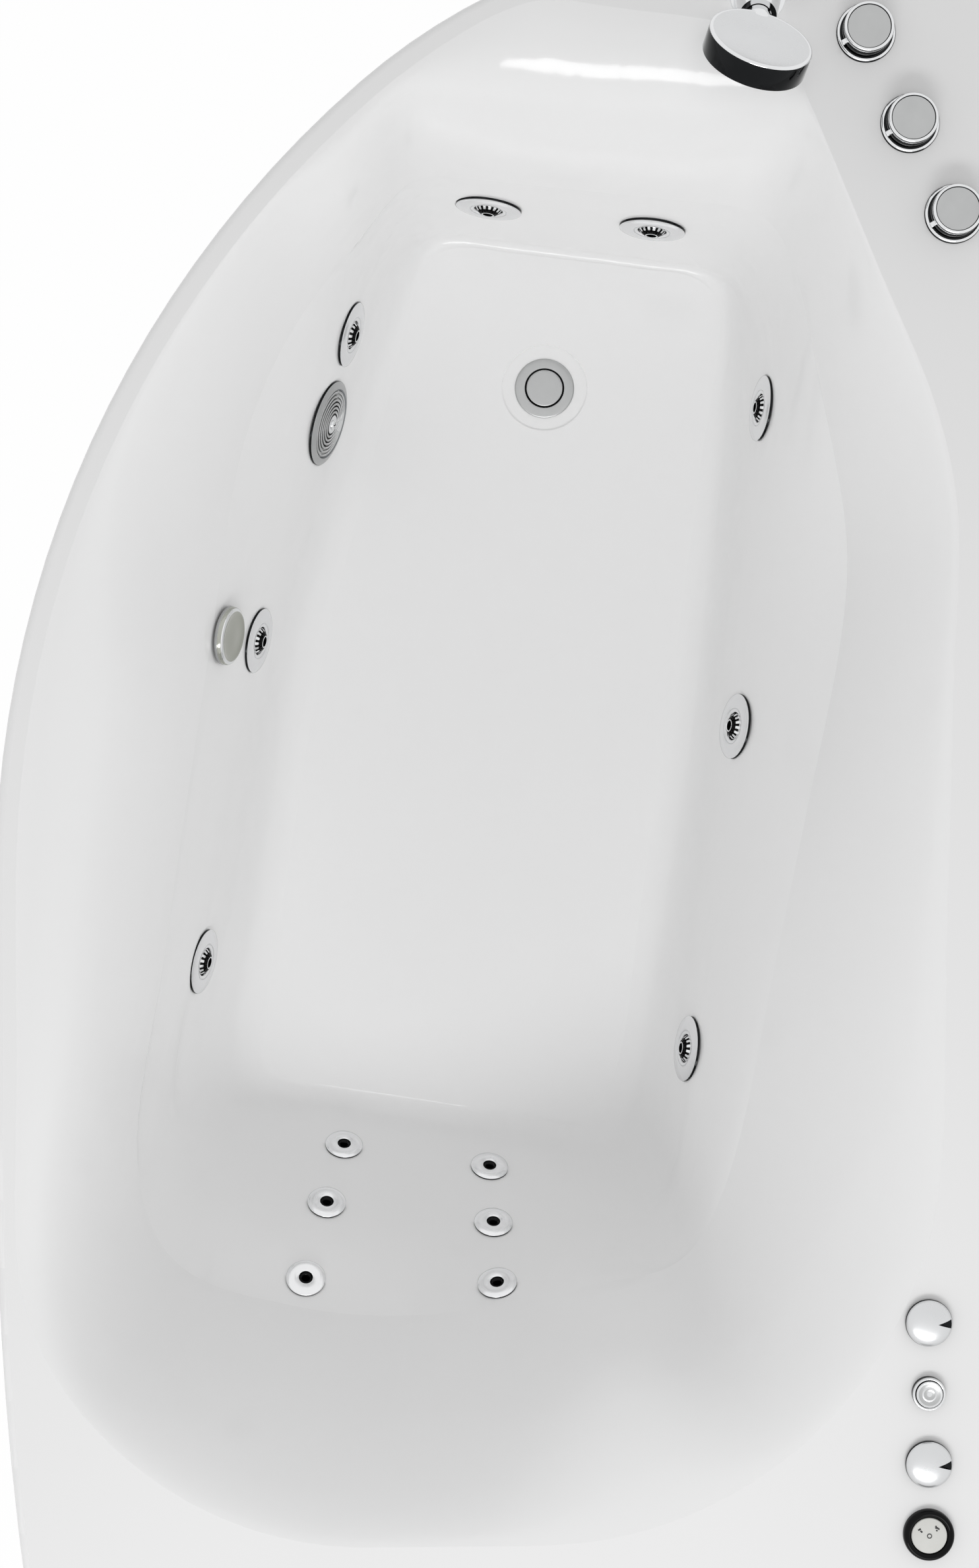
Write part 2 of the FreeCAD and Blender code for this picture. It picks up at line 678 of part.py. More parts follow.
back_bodies, back_middles = back_jet_bodies()
keep(shaped("back_jet_bodies", back_bodies), "back_jet_bodies")
group("back_jet_faces", [
    turned("back_jet_face_%d" % (i + 1), [
        ("back_jet_hole + fit_gap", "0.6"), ("back_jet_radius - 1.5", "0.6"),
        ("back_jet_radius - 1.5", "0"), ("back_jet_radius", "0"), ("back_jet_radius", "1.2"),
        ("back_jet_radius - 4", "back_jet_height"), ("back_jet_hole + 5", "back_jet_height"),
        ("back_jet_hole + fit_gap", "back_jet_height - 1.4"),
    ], place) for i, place in enumerate(back_jets)])
group("back_jet_nozzles", [
    turned("back_jet_nozzle_%d" % (i + 1), [
        ("3", "-9"), ("back_jet_hole", "-9"), ("back_jet_hole", "back_jet_height - 1.6"),
        ("4.4", "back_jet_height - 1.6"), ("3", "0"),
    ], place) for i, place in enumerate(back_jets)])


# ---------------------------------------------------------------- pipes

def route(points, radius):
    """Centre line of straight runs joined by tangent arcs."""
    edges, start = [], points[0]
    for before, corner, after in zip(points, points[1:], points[2:]):
        arriving, leaving = (corner - before).normalize(), (after - corner).normalize()
        half = arriving.getAngle(leaving) / 2
        near = min((corner - before).Length, (after - corner).Length)
        cut = min(radius * math.tan(half), 0.45 * near)
        into, out = corner - arriving * cut, corner + leaving * cut
        inner = (leaving - arriving).normalize()
        arc_radius = cut / math.tan(half)
        middle = corner + inner * (arc_radius / math.cos(half) - arc_radius)
        edges += [Part.LineSegment(start, into), Part.Arc(into, middle, out)]
        start = out
    edges.append(Part.LineSegment(start, points[-1]))
    return Part.Wire([edge.toShape() for edge in edges])


def tube(points, outer, inner, radius):
    """Pipe along the points, hollow if it has an inner radius."""
    path = route(points, radius)
    way = points[1] - points[0]
    solids = []
    for size_of in (outer, inner):
        if not size_of:
            continue
        ring = Part.Wire([Part.makeCircle(size_of, points[0], way)])
        solids.append(path.makePipeShell([ring], True, False))
    return solids[0].cut(solids[1]) if inner else solids[0]


def between_jets(points, index):
    """Route from one jet's port to the next one's, round the corner between them."""
    reach = size("socket_length")
    start = points[index] + joined_ways(index, points)[1] * reach
    end = points[index + 1] + joined_ways(index + 1, points)[0] * reach
    return [start] + corners_after(index, points) + [end]


def pipe_ring(points, outer, inner):
    return [tube(between_jets(points, i), outer, inner, size("pipe_bend"))
            for i in range(len(points) - 1)]


pump_axis = Vector(size("pump_x"), size("pump_y"), size("pump_axis_height"))
discharge = pump_axis + Vector(-size("volute_width") / 2, 0,
                               value("volute_radius + discharge_rise"))
reach = size("socket_length")
feed_z = size("feed_height")
feed_y = size("feed_y")
feed_start = chambers[0] - along * reach
feed_corner = Vector(feed_start.x + 6, feed_y + 75, feed_z)
feed = [
    feed_start, feed_start - along * 40, feed_corner, Vector(feed_corner.x + 75, feed_y, feed_z),
    Vector(discharge.x, feed_y, feed_z), Vector(discharge.x, discharge.y, feed_z), discharge,
]
water = pipe_ring(chambers, size("pipe_radius"), size("pipe_bore"))
water.append(tube(feed, size("pipe_radius"), size("pipe_bore"), 40))
stub_end = 23
for first, column in ((back_jets[0], back_middles[:3]), (back_jets[3], back_middles[3:])):
    for low, high in zip(column, column[1:]):
        way = (high - low).normalize() * stub_end
        water.append(tube([low + way, high - way], value("air_radius + 2"), size("air_bore"), 1))
    behind = first.Rotation.multVec(Vector(0, 0, -1))
    back_end = column[0] + behind * size("back_jet_body")
    low_bend = back_end + behind * 22
    water.append(tube([back_end, low_bend, Vector(back_end.x, feed_y, low_bend.z),
                       Vector(back_end.x, feed_y, feed_z - size("pipe_radius") - gap)],
                      size("air_radius"), size("air_bore"), 16))
keep(shaped("water_pipes", Part.makeCompound(water)), "water_pipes")

air = pipe_ring(air_points, size("air_radius"), size("air_bore"))
air_end = air_points[-1] - along * reach
riser = air_spot_high - Vector(0, 0, size("air_body_length"))
air.append(tube([air_end, air_end - along * 50, Vector(riser.x - 100, riser.y + 110, air_end.z),
                 Vector(riser.x, riser.y, air_end.z + 60), riser],
                size("air_radius"), size("air_bore"), 40))
bridge = air_spot_low - Vector(0, 0, size("air_body_length"))
bridge_low = bridge - Vector(0, 0, 60)
air.append(tube([bridge, bridge_low, Vector(riser.x, riser.y - size("air_radius"), bridge_low.z)],
                size("air_radius"), size("air_bore"), 22))
keep(shaped("air_pipes", Part.makeCompound(air)), "air_pipes")


# ---------------------------------------------------------------- suction and overflow

def suction_body():
    """Flanged chamber with a centre post for the grille's screw and an outlet below."""
    body, cavity = chamber_parts(suction, size("suction_neck"), value("suction_neck + 5"), 16,
                                 size("suction_depth"), value("suction_radius - 8"), 2, 3)
    axis = suction.Rotation.multVec(Vector(0, 0, 1))
    down = suction.Rotation.multVec(Vector(0, -1, 0))
    middle = local(suction, 0, 0, -value("suction_depth - suction_pipe_radius - 1"))
    outlet = Part.makeCylinder(size("suction_pipe_radius"), 32, middle + down * 24, down)
    way_down = Part.makeCylinder(value("suction_pipe_radius - 3"), 60, middle, down)
    body = body.fuse(outlet).cut([cavity, way_down])
    post = Part.makeCylinder(6, value("suction_depth"), local(suction, 0, 0, -size("suction_depth")), axis)
    tapped = Part.makeCylinder(2.8, 22, local(suction, 0, 0, -20), axis)
    return body.fuse(post).cut(tapped), middle + down * 56, down


body, suction_outlet, suction_down = suction_body()
keep(shaped("suction_body", body), "suction_body")
grille = turned("suction_grille_disc", [
    ("3", "2.4"), ("suction_radius - 7.4", "2.4"), ("suction_radius - 7.4", "0"),
    ("suction_radius", "0"), ("suction_radius", "2"), ("suction_radius - 9", "suction_height"),
    ("3", "suction_height"),
], suction)
slots = []
for i in range(30):
    slot = Part.makeBox(value("suction_radius - 23"), 2.6, 20, Vector(13, -1.3, 0))
    slot.rotate(Vector(), Vector(0, 0, 1), i * 12)
    slots.append(slot)
slot_cut = shaped("suction_slots", Part.makeCompound(slots))
slot_cut.Placement = suction
keep(less("suction_grille", grille, slot_cut), "suction_grille")
keep(turned("suction_screw", [
    ("0", "-18"), ("2.7", "-18"), ("2.7", "suction_height"), ("6", "suction_height"),
    ("5", "suction_height + 2"), ("0", "suction_height + 2"),
], suction), "suction_screw")


def overflow_body():
    body, cavity = chamber_parts(
        overflow, value("overflow_body_radius / 2"), size("overflow_body_radius"), 16,
        size("overflow_depth"), value("overflow_body_radius / 2 + 6"), 1, 3)
    axis = overflow.Rotation.multVec(Vector(0, 0, -1))
    start = local(overflow, 0, 0, -value("overflow_depth - 6"))
    chamber = Part.makeCylinder(value("overflow_body_radius - 3"), value("overflow_depth - 22"),
                                local(overflow, 0, 0, -19), axis)
    outlet = Part.makeCylinder(size("overflow_pipe_radius"), 16, start, axis)
    opening = Part.makeCylinder(size("overflow_pipe_bore"), 16, start, axis)
    return body.fuse(outlet).cut([cavity, chamber, opening])


keep(shaped("overflow_body", overflow_body()), "overflow_body")
keep(turned("overflow_knob", [
    ("0", "-30"), ("5", "-30"), ("5", "1.6"), ("overflow_knob_radius - 3", "1.6"),
    ("overflow_knob_radius", "4"), ("overflow_knob_radius - 1", "overflow_knob_height - 2"),
    ("overflow_knob_radius - 4", "overflow_knob_height"), ("0", "overflow_knob_height"),
], overflow), "overflow_knob")


# ---------------------------------------------------------------- drain

drain_place = upright(drain.x, drain.y, drain.z)
keep(turned("drain_flange", [
    ("drain_plug_radius + 0.5", "-30"), ("drain_hole", "-30"), ("drain_hole", "0"),
    ("drain_flange_radius", "0"), ("drain_flange_radius", "1"), ("drain_flange_radius - 4", "2.2"),
    ("drain_plug_radius + 0.5", "2.2"),
], drain_place), "drain_flange")
keep(turned("drain_plug", [
    ("0", "-26"), ("3", "-26"), ("3", "-3"), ("drain_plug_radius - 3", "-3"),
    ("drain_plug_radius", "0"), ("drain_plug_radius", "2.6"), ("drain_plug_radius - 2", "3.4"),
    ("0", "3.4"),
], drain_place), "drain_plug")
cup_drop = drain.z - size("drain_cup_bottom")
cup_top = value("shell_wall - drain_recess_depth")
front_way = Vector(-across.x, -across.y, 0)
overflow_z = size("overflow_pipe_height")


def drain_body():
    """Cup under the floor with a side inlet for the overflow and an outlet below."""
    radius = size("drain_cup_radius")
    outer = Part.makeCylinder(radius, cup_drop - cup_top, drain - Vector(0, 0, cup_drop))
    inner = Part.makeCylinder(value("drain_hole + slide_gap"), cup_drop - 4,
                              drain - Vector(0, 0, cup_drop - 4))
    inlet = Vector(drain.x, drain.y, overflow_z)
    stub = Part.makeCylinder(size("overflow_pipe_radius"), radius + 14, inlet, front_way)
    bore_of_stub = Part.makeCylinder(size("overflow_pipe_bore"), radius + 14, inlet, front_way)
    outlet = Part.makeCylinder(size("waste_bore"), 10, drain - Vector(0, 0, cup_drop + 2))
    return outer.fuse(stub).cut([inner, bore_of_stub, outlet]), inlet + front_way * (radius + 14)


cup, overflow_end = drain_body()
keep(shaped("drain_body", cup), "drain_body")
trap_top = drain - Vector(0, 0, cup_drop)
trap_low = Vector(drain.x, drain.y, size("trap_bottom"))
trap_far = trap_low + Vector(size("trap_reach"), 0, 0)
waste_z = size("waste_outlet_height")
waste_end = Vector(drain.x + size("waste_run"), drain.y, waste_z)
keep(shaped("waste_trap", tube([trap_top, trap_low, trap_far, Vector(trap_far.x, drain.y, waste_z),
                                waste_end], size("waste_radius"), size("waste_bore"), 26)),
     "waste_trap")
over_start = local(overflow, 0, 0, -value("overflow_depth + 10"))
over_back = local(overflow, 0, 0, -value("overflow_depth + 45"))
over_low = Vector(over_back.x, over_back.y, overflow_z)
keep(shaped("overflow_pipe", tube([over_start, over_back, over_low, overflow_end + front_way * 50,
                                   overflow_end],
                                  size("overflow_pipe_radius"), size("overflow_pipe_bore"), 30)),
     "overflow_pipe")
aside = Vector(0, -(value("overflow_pipe_radius + 8")), 0)
cable_z = overflow_z - 4
cable_way = Rotation(Vector(0, 0, 1), 45).multVec(front_way)
cable_end = Vector(drain.x, drain.y, cable_z) + cable_way * (size("drain_cup_radius") + 0.3)
keep(shaped("overflow_cable", tube([
    local(overflow, -18, 0, -size("overflow_depth") - 0.3),
    local(overflow, -18, 0, -value("overflow_depth + 40")),
    Vector(over_low.x, over_low.y, cable_z) + aside, cable_end + cable_way * 60, cable_end,
], size("cable_radius"), 0, 25)), "overflow_cable")


# ---------------------------------------------------------------- deck controls

def at_spot(spot):
    return upright(spot.x, spot.y, spot.z)


group("air_control_bodies", [turned("air_control_body_%d" % (i + 1), [
    ("6.4", "1.5"), ("air_body_radius + 4", "1.5"), ("air_body_radius + 4", "0"),
    ("air_body_radius", "0"), ("air_body_radius", "-air_body_length"), ("6.4", "-air_body_length"),
], at_spot(spot)) for i, spot in enumerate((air_spot_high, air_spot_low))])
for i, spot in enumerate((air_spot_high, air_spot_low)):
    dome = turned("air_knob_dome_%d" % (i + 1), [
        ("0", "-22"), ("6", "-22"), ("6", "2"), ("air_knob_radius", "2"), ("air_knob_radius", "5.5"),
        ("air_knob_radius - 3", "9"), ("air_knob_radius - 10", "air_knob_height - 1"),
        ("0", "air_knob_height"),
    ], at_spot(spot))
    tip, edge = size("air_knob_radius") - 15, size("air_knob_radius") + 2
    corners = [Vector(tip, 0, 6), Vector(edge, -7, 6), Vector(edge, 7, 6), Vector(tip, 0, 6)]
    notch = shaped("air_knob_notch_%d" % (i + 1),
                   Part.Face(Part.makePolygon(corners)).extrude(Vector(0, 0, 20)))
    notch.Placement = at_spot(spot)
    keep(less("air_knob_%d" % (i + 1), dome, notch), "air_knob_%d" % (i + 1))
keep(turned("button_housing", [
    ("4.3", "1"), ("button_cap_radius + slide_gap", "1"),
    ("button_cap_radius + slide_gap", "button_height"), ("button_radius", "button_height"),
    ("button_radius", "0"), ("button_cap_radius - 1", "0"), ("button_cap_radius - 1", "-45"),
    ("4.3", "-45"),
], at_spot(button_spot)), "button_housing")
keep(turned("push_button", [
    ("0", "-30"), ("4", "-30"), ("4", "button_travel + 1.4"),
    ("button_cap_radius", "button_travel + 1.4"), ("button_cap_radius", "button_height + 1.2"),
    ("button_cap_radius - 4", "button_height + 1.2"), ("button_cap_radius - 6", "button_height + 0.4"),
    ("0", "button_height"),
], at_spot(button_spot)), "push_button")
keep(turned("control_bezel", [
    ("0", "-panel_depth"), ("panel_disc_radius + 1", "-panel_depth"),
    ("panel_disc_radius + 1", "0"), ("panel_radius", "0"), ("panel_radius", "panel_height - 3"),
    ("panel_radius - 2.5", "panel_height"), ("panel_disc_radius + 2", "panel_height"),
    ("panel_disc_radius + fit_gap", "panel_height - 1.5"), ("panel_disc_radius + fit_gap", "4"),
    ("0", "4"),
], at_spot(panel_spot)), "control_bezel")
keep(turned("control_disc", [
    ("0", "4"), ("panel_disc_radius", "4"), ("panel_disc_radius", "6"), ("0", "6.6"),
], at_spot(panel_spot)), "control_disc")


# ---------------------------------------------------------------- taps

group("tap_flanges", [turned("tap_flange_%d" % (i + 1), [
    ("tap_valve_radius + fit_gap", "0"), ("tap_flange_radius", "0"),
    ("tap_flange_radius", "tap_flange_height - 1.5"), ("tap_flange_radius - 2", "tap_flange_height"),
    ("tap_valve_radius + fit_gap", "tap_flange_height"),
], at_spot(spot)) for i, spot in enumerate(taps)])
group("tap_valves", [turned("tap_valve_%d" % (i + 1), [
    ("5.4", "tap_flange_height - 1"), ("tap_valve_radius", "tap_flange_height - 1"),
    ("tap_valve_radius", "-tap_valve_length"), ("tap_tail_radius", "-tap_valve_length"),
    ("tap_tail_radius", "-tap_valve_length - 30"), ("tap_tail_bore", "-tap_valve_length - 30"),
    ("tap_tail_bore", "-tap_valve_length + 20"), ("5.4", "-tap_valve_length + 20"),
], at_spot(spot)) for i, spot in enumerate(taps)])
for i, spot in enumerate(taps):
    name = "tap_knob_%d" % (i + 1)
    knob = turned(name + "_body", [
        ("0", "-30"), ("5", "-30"), ("5", "tap_flange_height + 0.6"),
        ("tap_knob_radius - 2", "tap_flange_height + 0.6"), ("tap_knob_radius", "tap_flange_height + 3"),
        ("tap_knob_radius", "tap_knob_height - 2"), ("tap_knob_radius - 2", "tap_knob_height"),
        ("tap_knob_radius - 3.5", "tap_knob_height"), ("tap_knob_radius - 3.5", "tap_knob_height - 1"),
        ("0", "tap_knob_height - 1"),
    ], at_spot(spot))
    angle = Rotation(Vector(0, 0, 1), 210)
    tab = box(name + "_lever", "tap_lever", "6", "5", Placement(
        spot + angle.multVec(Vector(value("tap_knob_radius - 3"), -3, value("tap_knob_height - 9"))),
        angle))
    keep(fused(name, [knob, tab]), name)


# ---------------------------------------------------------------- hand shower

def in_direction(turned_by, tilt):
    """Unit vector at an angle from upright, leaning towards +Y turned towards +X."""
    lean, around = math.radians(tilt), math.radians(turned_by)
    return Vector(math.sin(lean) * math.sin(around), math.sin(lean) * math.cos(around),
                  math.cos(lean))


head_back = in_direction(size("head_turn"), size("head_tilt"))
handle_plan = in_direction(size("handle_turn"), 90)
handle_way = (handle_plan - Vector(0, 0, handle_plan.dot(head_back) / head_back.z)).normalize()
socket_point = holder_spot + Vector(0, 0, 6)
head_middle = socket_point - handle_way * size("handle_reach")


def shower_holder():
    """Deck flange and neck with a sloping conical socket."""
    radius = size("holder_radius")
    grip = size("handle_radius") + size("fit_gap") + 0.3
    cone = Part.makeCone(radius - 1, radius - 9, size("holder_reach") + 20,
                         socket_point + handle_way * 20, handle_way * -1)
    above = Part.makeBox(300, 300, 200, holder_spot - Vector(150, 150, 0))
    flange = Part.makeCylinder(radius, 4, holder_spot)
    neck = Part.makeCylinder(radius - 7, 52, holder_spot - Vector(0, 0, 50))
    bore_up = Part.makeCylinder(grip, 200, socket_point + handle_way * 9, handle_way * -1)
    bore_down = Part.makeCylinder(grip, 60, holder_spot - Vector(0, 0, 60))
    return cone.common(above).fuse([flange, neck]).cut([bore_up, bore_down])


def shower_handset():
    """Flat round head with its handle in the plane of the head."""
    thick = size("head_thickness")
    head = Part.makeCylinder(size("head_radius"), thick, head_middle - head_back * (thick / 2), head_back)
    head = head.makeFillet(1.5, head.Edges[:1] + head.Edges[2:])
    handle = Part.makeCylinder(size("handle_radius"), value("handle_reach + 4"), head_middle, handle_way)
    recess = Part.makeCylinder(value("spray_radius + fit_gap"), 3, head_middle - head_back * (thick / 2),
                               head_back)
    return head.fuse(handle).cut(recess)


keep(shaped("shower_holder", shower_holder()), "shower_holder")
keep(shaped("shower_handset", shower_handset()), "shower_handset")
spray_place = Placement(head_middle - head_back * (size("head_thickness") / 2),
                        Rotation(Vector(0, 0, 1), head_back * -1))
keep(turned("spray_face", [
    ("0", "-2.8"), ("spray_radius", "-2.8"), ("spray_radius", "0.4"), ("spray_radius - 3", "1.4"),
    ("0", "1.4"),
], spray_place), "spray_face")


# ---------------------------------------------------------------- frame, board and feet

bar_top = floor - wall - size("board_thickness")
bar_low = bar_top - size("tube")
left, right = size("left_rail_x"), size("right_rail_x")
half_tube = size("tube") / 2
deck_under = rim - wall
feet = [
    (left + size("foot_from_rail"), size("head_bar_y")), (right - size("foot_from_rail"), size("head_bar_y")),
    (left, size("middle_bar_y")), (size("foot_bar_left") + 28, size("foot_bar_y")),
    (right - size("foot_from_rail"), size("foot_bar_y")),
]


def frame_bars(inset):
    """Square tubes as boxes, drawn in by the inset to make their hollows."""
    solids = []

    def bar(low, high):
        low = Vector(*low) - Vector(half_tube, half_tube, 0)
        high = Vector(*high) + Vector(half_tube, half_tube, 0)
        extent = high - low
        solids.append(Part.makeBox(extent.x - 2 * inset, extent.y - 2 * inset, extent.z - 2 * inset,
                                   low + Vector(inset, inset, inset)))

    for y, start in (
        (size("head_bar_y"), left), (size("pump_bar_y"), left), (size("middle_bar_y"), left),
        (size("drain_bar_y"), size("drain_bar_left")), (size("foot_bar_y"), size("foot_bar_left")),
    ):
        bar((start, y, bar_low), (right, y, bar_top))
        bar((right, y, bar_low), (right, y, deck_under))
    for x, first, last in (
        (left, "head_bar_y", "middle_bar_y"), (right, "head_bar_y", "foot_bar_y"),
        (size("centre_rail_left_x"), "pump_bar_y", "drain_bar_y"),
        (size("centre_rail_right_x"), "pump_bar_y", "foot_bar_y"),
    ):
        bar((x, size(first), bar_low), (x, size(last), bar_top))
    bar((left, size("head_bar_y"), bar_low), (left, size("head_bar_y"), deck_under))
    bar((size("foot_post_x"), size("foot_bar_y"), bar_low),
        (size("foot_post_x"), size("foot_bar_y"), deck_under))
    return solids[0].fuse(solids[1:])


rod_holes = [Part.makeCylinder(value("foot_rod_radius + slide_gap"), 80, Vector(x, y, bar_low - 20))
             for x, y in feet]
frame = frame_bars(0).cut(frame_bars(size("tube_wall"))).cut(rod_holes)
keep(shaped("support_frame", frame), "support_frame")

board_low = bar_top
board = Part.Face(floor_outline(-14, -14, -14, 40)).extrude(Vector(0, 0, size("board_thickness")))
board.translate(Vector(0, 0, board_low))
board = board.cut(Part.makeCylinder(value("drain_recess_radius + 14"), 60, drain - Vector(0, 0, 40)))
keep(shaped("base_board", board), "base_board")

for i, (x, y) in enumerate(feet):
    keep(turned("levelling_foot_%d" % (i + 1), [
        ("0", "0"), ("foot_pad_radius", "0"), ("foot_pad_radius", "5"),
        ("foot_pad_radius - 14", "foot_pad_height"), ("foot_rod_radius", "foot_pad_height"),
        ("foot_rod_radius", "foot_rod_top"), ("0", "foot_rod_top"),
    ], upright(x, y, 0)), "levelling_foot_%d" % (i + 1))
nuts = []
for i, (x, y) in enumerate(feet):
    for level, start in ((bar_top, 0), (bar_low, "-nut_height")):
        nuts.append(turned("foot_nut", [
            ("foot_rod_radius + slide_gap", start), ("nut_radius", start),
            ("nut_radius", str(start) + " + nut_height"),
            ("foot_rod_radius + slide_gap", str(start) + " + nut_height"),
        ], upright(x, y, level)))
group("foot_locknuts", nuts)


# ---------------------------------------------------------------- front panel

panel_low, panel_top = size("panel_ground_gap"), size("panel_top")
panel_inset, panel_wall = size("panel_inset"), size("panel_wall")
bracket_ys = [size(part + "_bar_y") for part in ("head", "pump", "middle", "drain")]
bracket_starts = [left, left, left, size("drain_bar_left")]


def front_edge(y, inset):
    """Point and outward direction on the front outline at a given y."""
    spots = []
    for offset in (-1, 0, 1):
        ray = Part.makeLine(Vector(0, y + offset, 0), Vector(-2000, y + offset, 0))
        spots.append(rim_outline(inset).distToShape(ray)[1][0][0])
    way = (spots[2] - spots[0]).cross(Vector(0, 0, 1)).normalize()
    return spots[1], way * (-1 if way.x > 0 else 1)


def front_panel():
    strip = Part.Face(rim_outline(panel_inset)).cut(Part.Face(rim_outline(panel_inset + panel_wall)))
    panel = strip.extrude(Vector(0, 0, panel_top - panel_low))
    panel.translate(Vector(0, 0, panel_low))
    span = size("tub_length") * 2
    back = Part.makeBox(span, span, rim, Vector(small_arc_end(), -span / 2, 0))
    head_side = -half_length + panel_inset + panel_wall
    head = Part.makeBox(span, span, rim, Vector(-span / 2, head_side - span, 0))
    return panel.cut([back, head])


def small_arc_end():
    """Where the front's last arc meets the straight foot edge."""
    return rim_outline().Edges[1].Vertexes[1].Point.x


screw_spots = []
for y in bracket_ys:
    point, way = front_edge(y, panel_inset)
    screw_spots.append((point + Vector(0, 0, bar_top + size("bracket_height") / 2), way))
screw_holes = [Part.makeCylinder(value("screw_radius + fit_gap"), 30, point - way * 20, way)
               for point, way in screw_spots]
panel = front_panel().cut(screw_holes)
keep(shaped("front_panel", panel), "front_panel")

inside = Part.Face(rim_outline(panel_inset + panel_wall)).extrude(Vector(0, 0, rim))
thin = size("bracket_thickness")
behind = Part.Face(rim_outline(panel_inset + panel_wall + thin)).extrude(Vector(0, 0, rim))
brackets = []
for y, start in zip(bracket_ys, bracket_starts):
    width, height, reach_out = size("bracket_width"), size("bracket_height"), 200
    low_y, bar_end = y - width / 2, start - half_tube
    shelf = Part.makeBox(reach_out, width, thin, Vector(bar_end - reach_out, low_y, bar_top - thin))
    tab = Part.makeBox(reach_out, width, height, Vector(bar_end - reach_out, low_y, bar_top - thin))
    plate = Part.makeBox(thin, width, size("tube"), Vector(bar_end - thin, low_y, bar_low))
    bracket = shelf.common(inside).fuse([tab.common(inside).cut(behind), plate])
    brackets.append(bracket.cut(screw_holes))
keep(shaped("panel_brackets", Part.makeCompound(brackets)), "panel_brackets")
screws = []
for point, way in screw_spots:
    shank = Part.makeCylinder(size("screw_radius"), 16, point - way * 16, way)
    head = Part.makeCylinder(size("screw_head"), 2.4, point + way * 0.4, way)
    link = Part.makeCylinder(size("screw_radius"), 0.4, point, way)
    screws.append(shank.fuse([link, head]))
keep(shaped("panel_screws", Part.makeCompound(screws)), "panel_screws")


# ---------------------------------------------------------------- pump

along_x = Rotation(Vector(0, 1, 0), 90)
thick = size("pump_wall")
tray_top = value("tray_height + tray_thickness")


def pump_volute():
    radius, width = size("volute_radius"), size("volute_width")
    face = pump_axis - Vector(width, 0, 0)
    way = Vector(1, 0, 0)
    body = Part.makeCylinder(radius, width, face, way)
    inlet = Part.makeCylinder(value("suction_pipe_radius + 4"), size("inlet_reach") + 2,
                              face - way * size("inlet_reach"), way)
    outlet = Part.makeCylinder(value("pipe_radius + 3"), discharge.z - pump_axis.z - radius / 2,
                               Vector(discharge.x, discharge.y, pump_axis.z + radius / 2))
    foot = Part.makeBox(width, radius, radius, Vector(face.x, face.y - radius / 2, tray_top))
    body = body.fuse([inlet, outlet, foot])
    hollow = Part.makeCylinder(radius - thick * 1.5, width - 2 * thick, face + way * thick, way)
    eye = Part.makeCylinder(size("suction_pipe_radius") - 3, size("inlet_reach") + thick + 2,
                            face - way * size("inlet_reach"), way)
    throat = Part.makeCylinder(size("pipe_bore"), discharge.z - pump_axis.z,
                               Vector(discharge.x, discharge.y, pump_axis.z))
    shaft_way = Part.makeCylinder(value("shaft_radius + slide_gap"), 40, pump_axis - way * 20, way)
    return body.cut([hollow, eye, throat, shaft_way])


def motor_casing():
    radius, length = size("motor_radius"), size("motor_length")
    way = Vector(1, 0, 0)
    body = Part.makeCylinder(radius, length, pump_axis, way)
    box_size = 62
    terminal = Part.makeBox(box_size, 50, 34, pump_axis + Vector(70, -25, radius - 8))
    feet_box = Part.makeBox(length * 0.6, radius, radius, Vector(
        pump_axis.x + length * 0.2, pump_axis.y - radius / 2, tray_top))
    hollow = Part.makeCylinder(radius - thick, length - 2 * thick, pump_axis + way * thick, way)
    shaft_way = Part.makeCylinder(value("shaft_radius + slide_gap"), thick + 4, pump_axis - way * 2, way)
    return body.fuse([terminal, feet_box]).cut([hollow, shaft_way])


keep(shaped("pump_volute", pump_volute()), "pump_volute")
keep(shaped("pump_motor_casing", motor_casing()), "pump_motor_casing")
rotor_start = pump_axis - Vector(value("volute_width - pump_wall - 6"), 0, 0)
rotor_place = Placement(rotor_start, along_x)
keep(turned("pump_shaft", [
    ("0", "0"), ("shaft_radius", "0"), ("shaft_radius", "volute_width + 14"),
    ("rotor_radius", "volute_width + 14"), ("rotor_radius", "volute_width + motor_length * 0.7"),
    ("shaft_radius", "volute_width + motor_length * 0.7"),
    ("shaft_radius", "volute_width + motor_length - 20"), ("0", "volute_width + motor_length - 20"),
], rotor_place), "pump_shaft")


def impeller():
    """Back plate, hub and swept vanes."""
    radius, width = size("impeller_radius"), size("impeller_width")
    back = Part.makeCylinder(radius, 3, Vector(0, 0, width - 3))
    hub = Part.makeCylinder(value("shaft_radius + 6"), width)
    wheel = back.fuse(hub)
    for i in range(6):
        vane = Part.makeBox(radius - 14, 2.5, width - 3, Vector(10, 4, 0))
        vane.rotate(Vector(), Vector(0, 0, 1), i * 60)
        wheel = wheel.fuse(vane.common(Part.makeCylinder(radius, width)))
    return wheel.cut(Part.makeCylinder(value("shaft_radius + 0.1"), width))


wheel = shaped("pump_impeller", impeller())
wheel.Placement = Placement(rotor_start + Vector(6, 0, 0), along_x)
keep(wheel, "pump_impeller")


def pump_tray():
    """Plate under the pump, hung from the two bars beside it."""
    thin_plate = size("tray_thickness")
    low_y, high_y = size("head_bar_y"), size("pump_bar_y")
    start = pump_axis.x - size("volute_width") - 12
    length = size("volute_width") + size("motor_length") + 24
    plate = Part.makeBox(length, high_y - low_y + thin_plate, thin_plate,
                         Vector(start, low_y, size("tray_height")))
    sides = [Part.makeBox(length, thin_plate, bar_low - size("tray_height"),
                          Vector(start, y, size("tray_height"))) for y in (low_y, high_y)]
    return plate.fuse(sides)


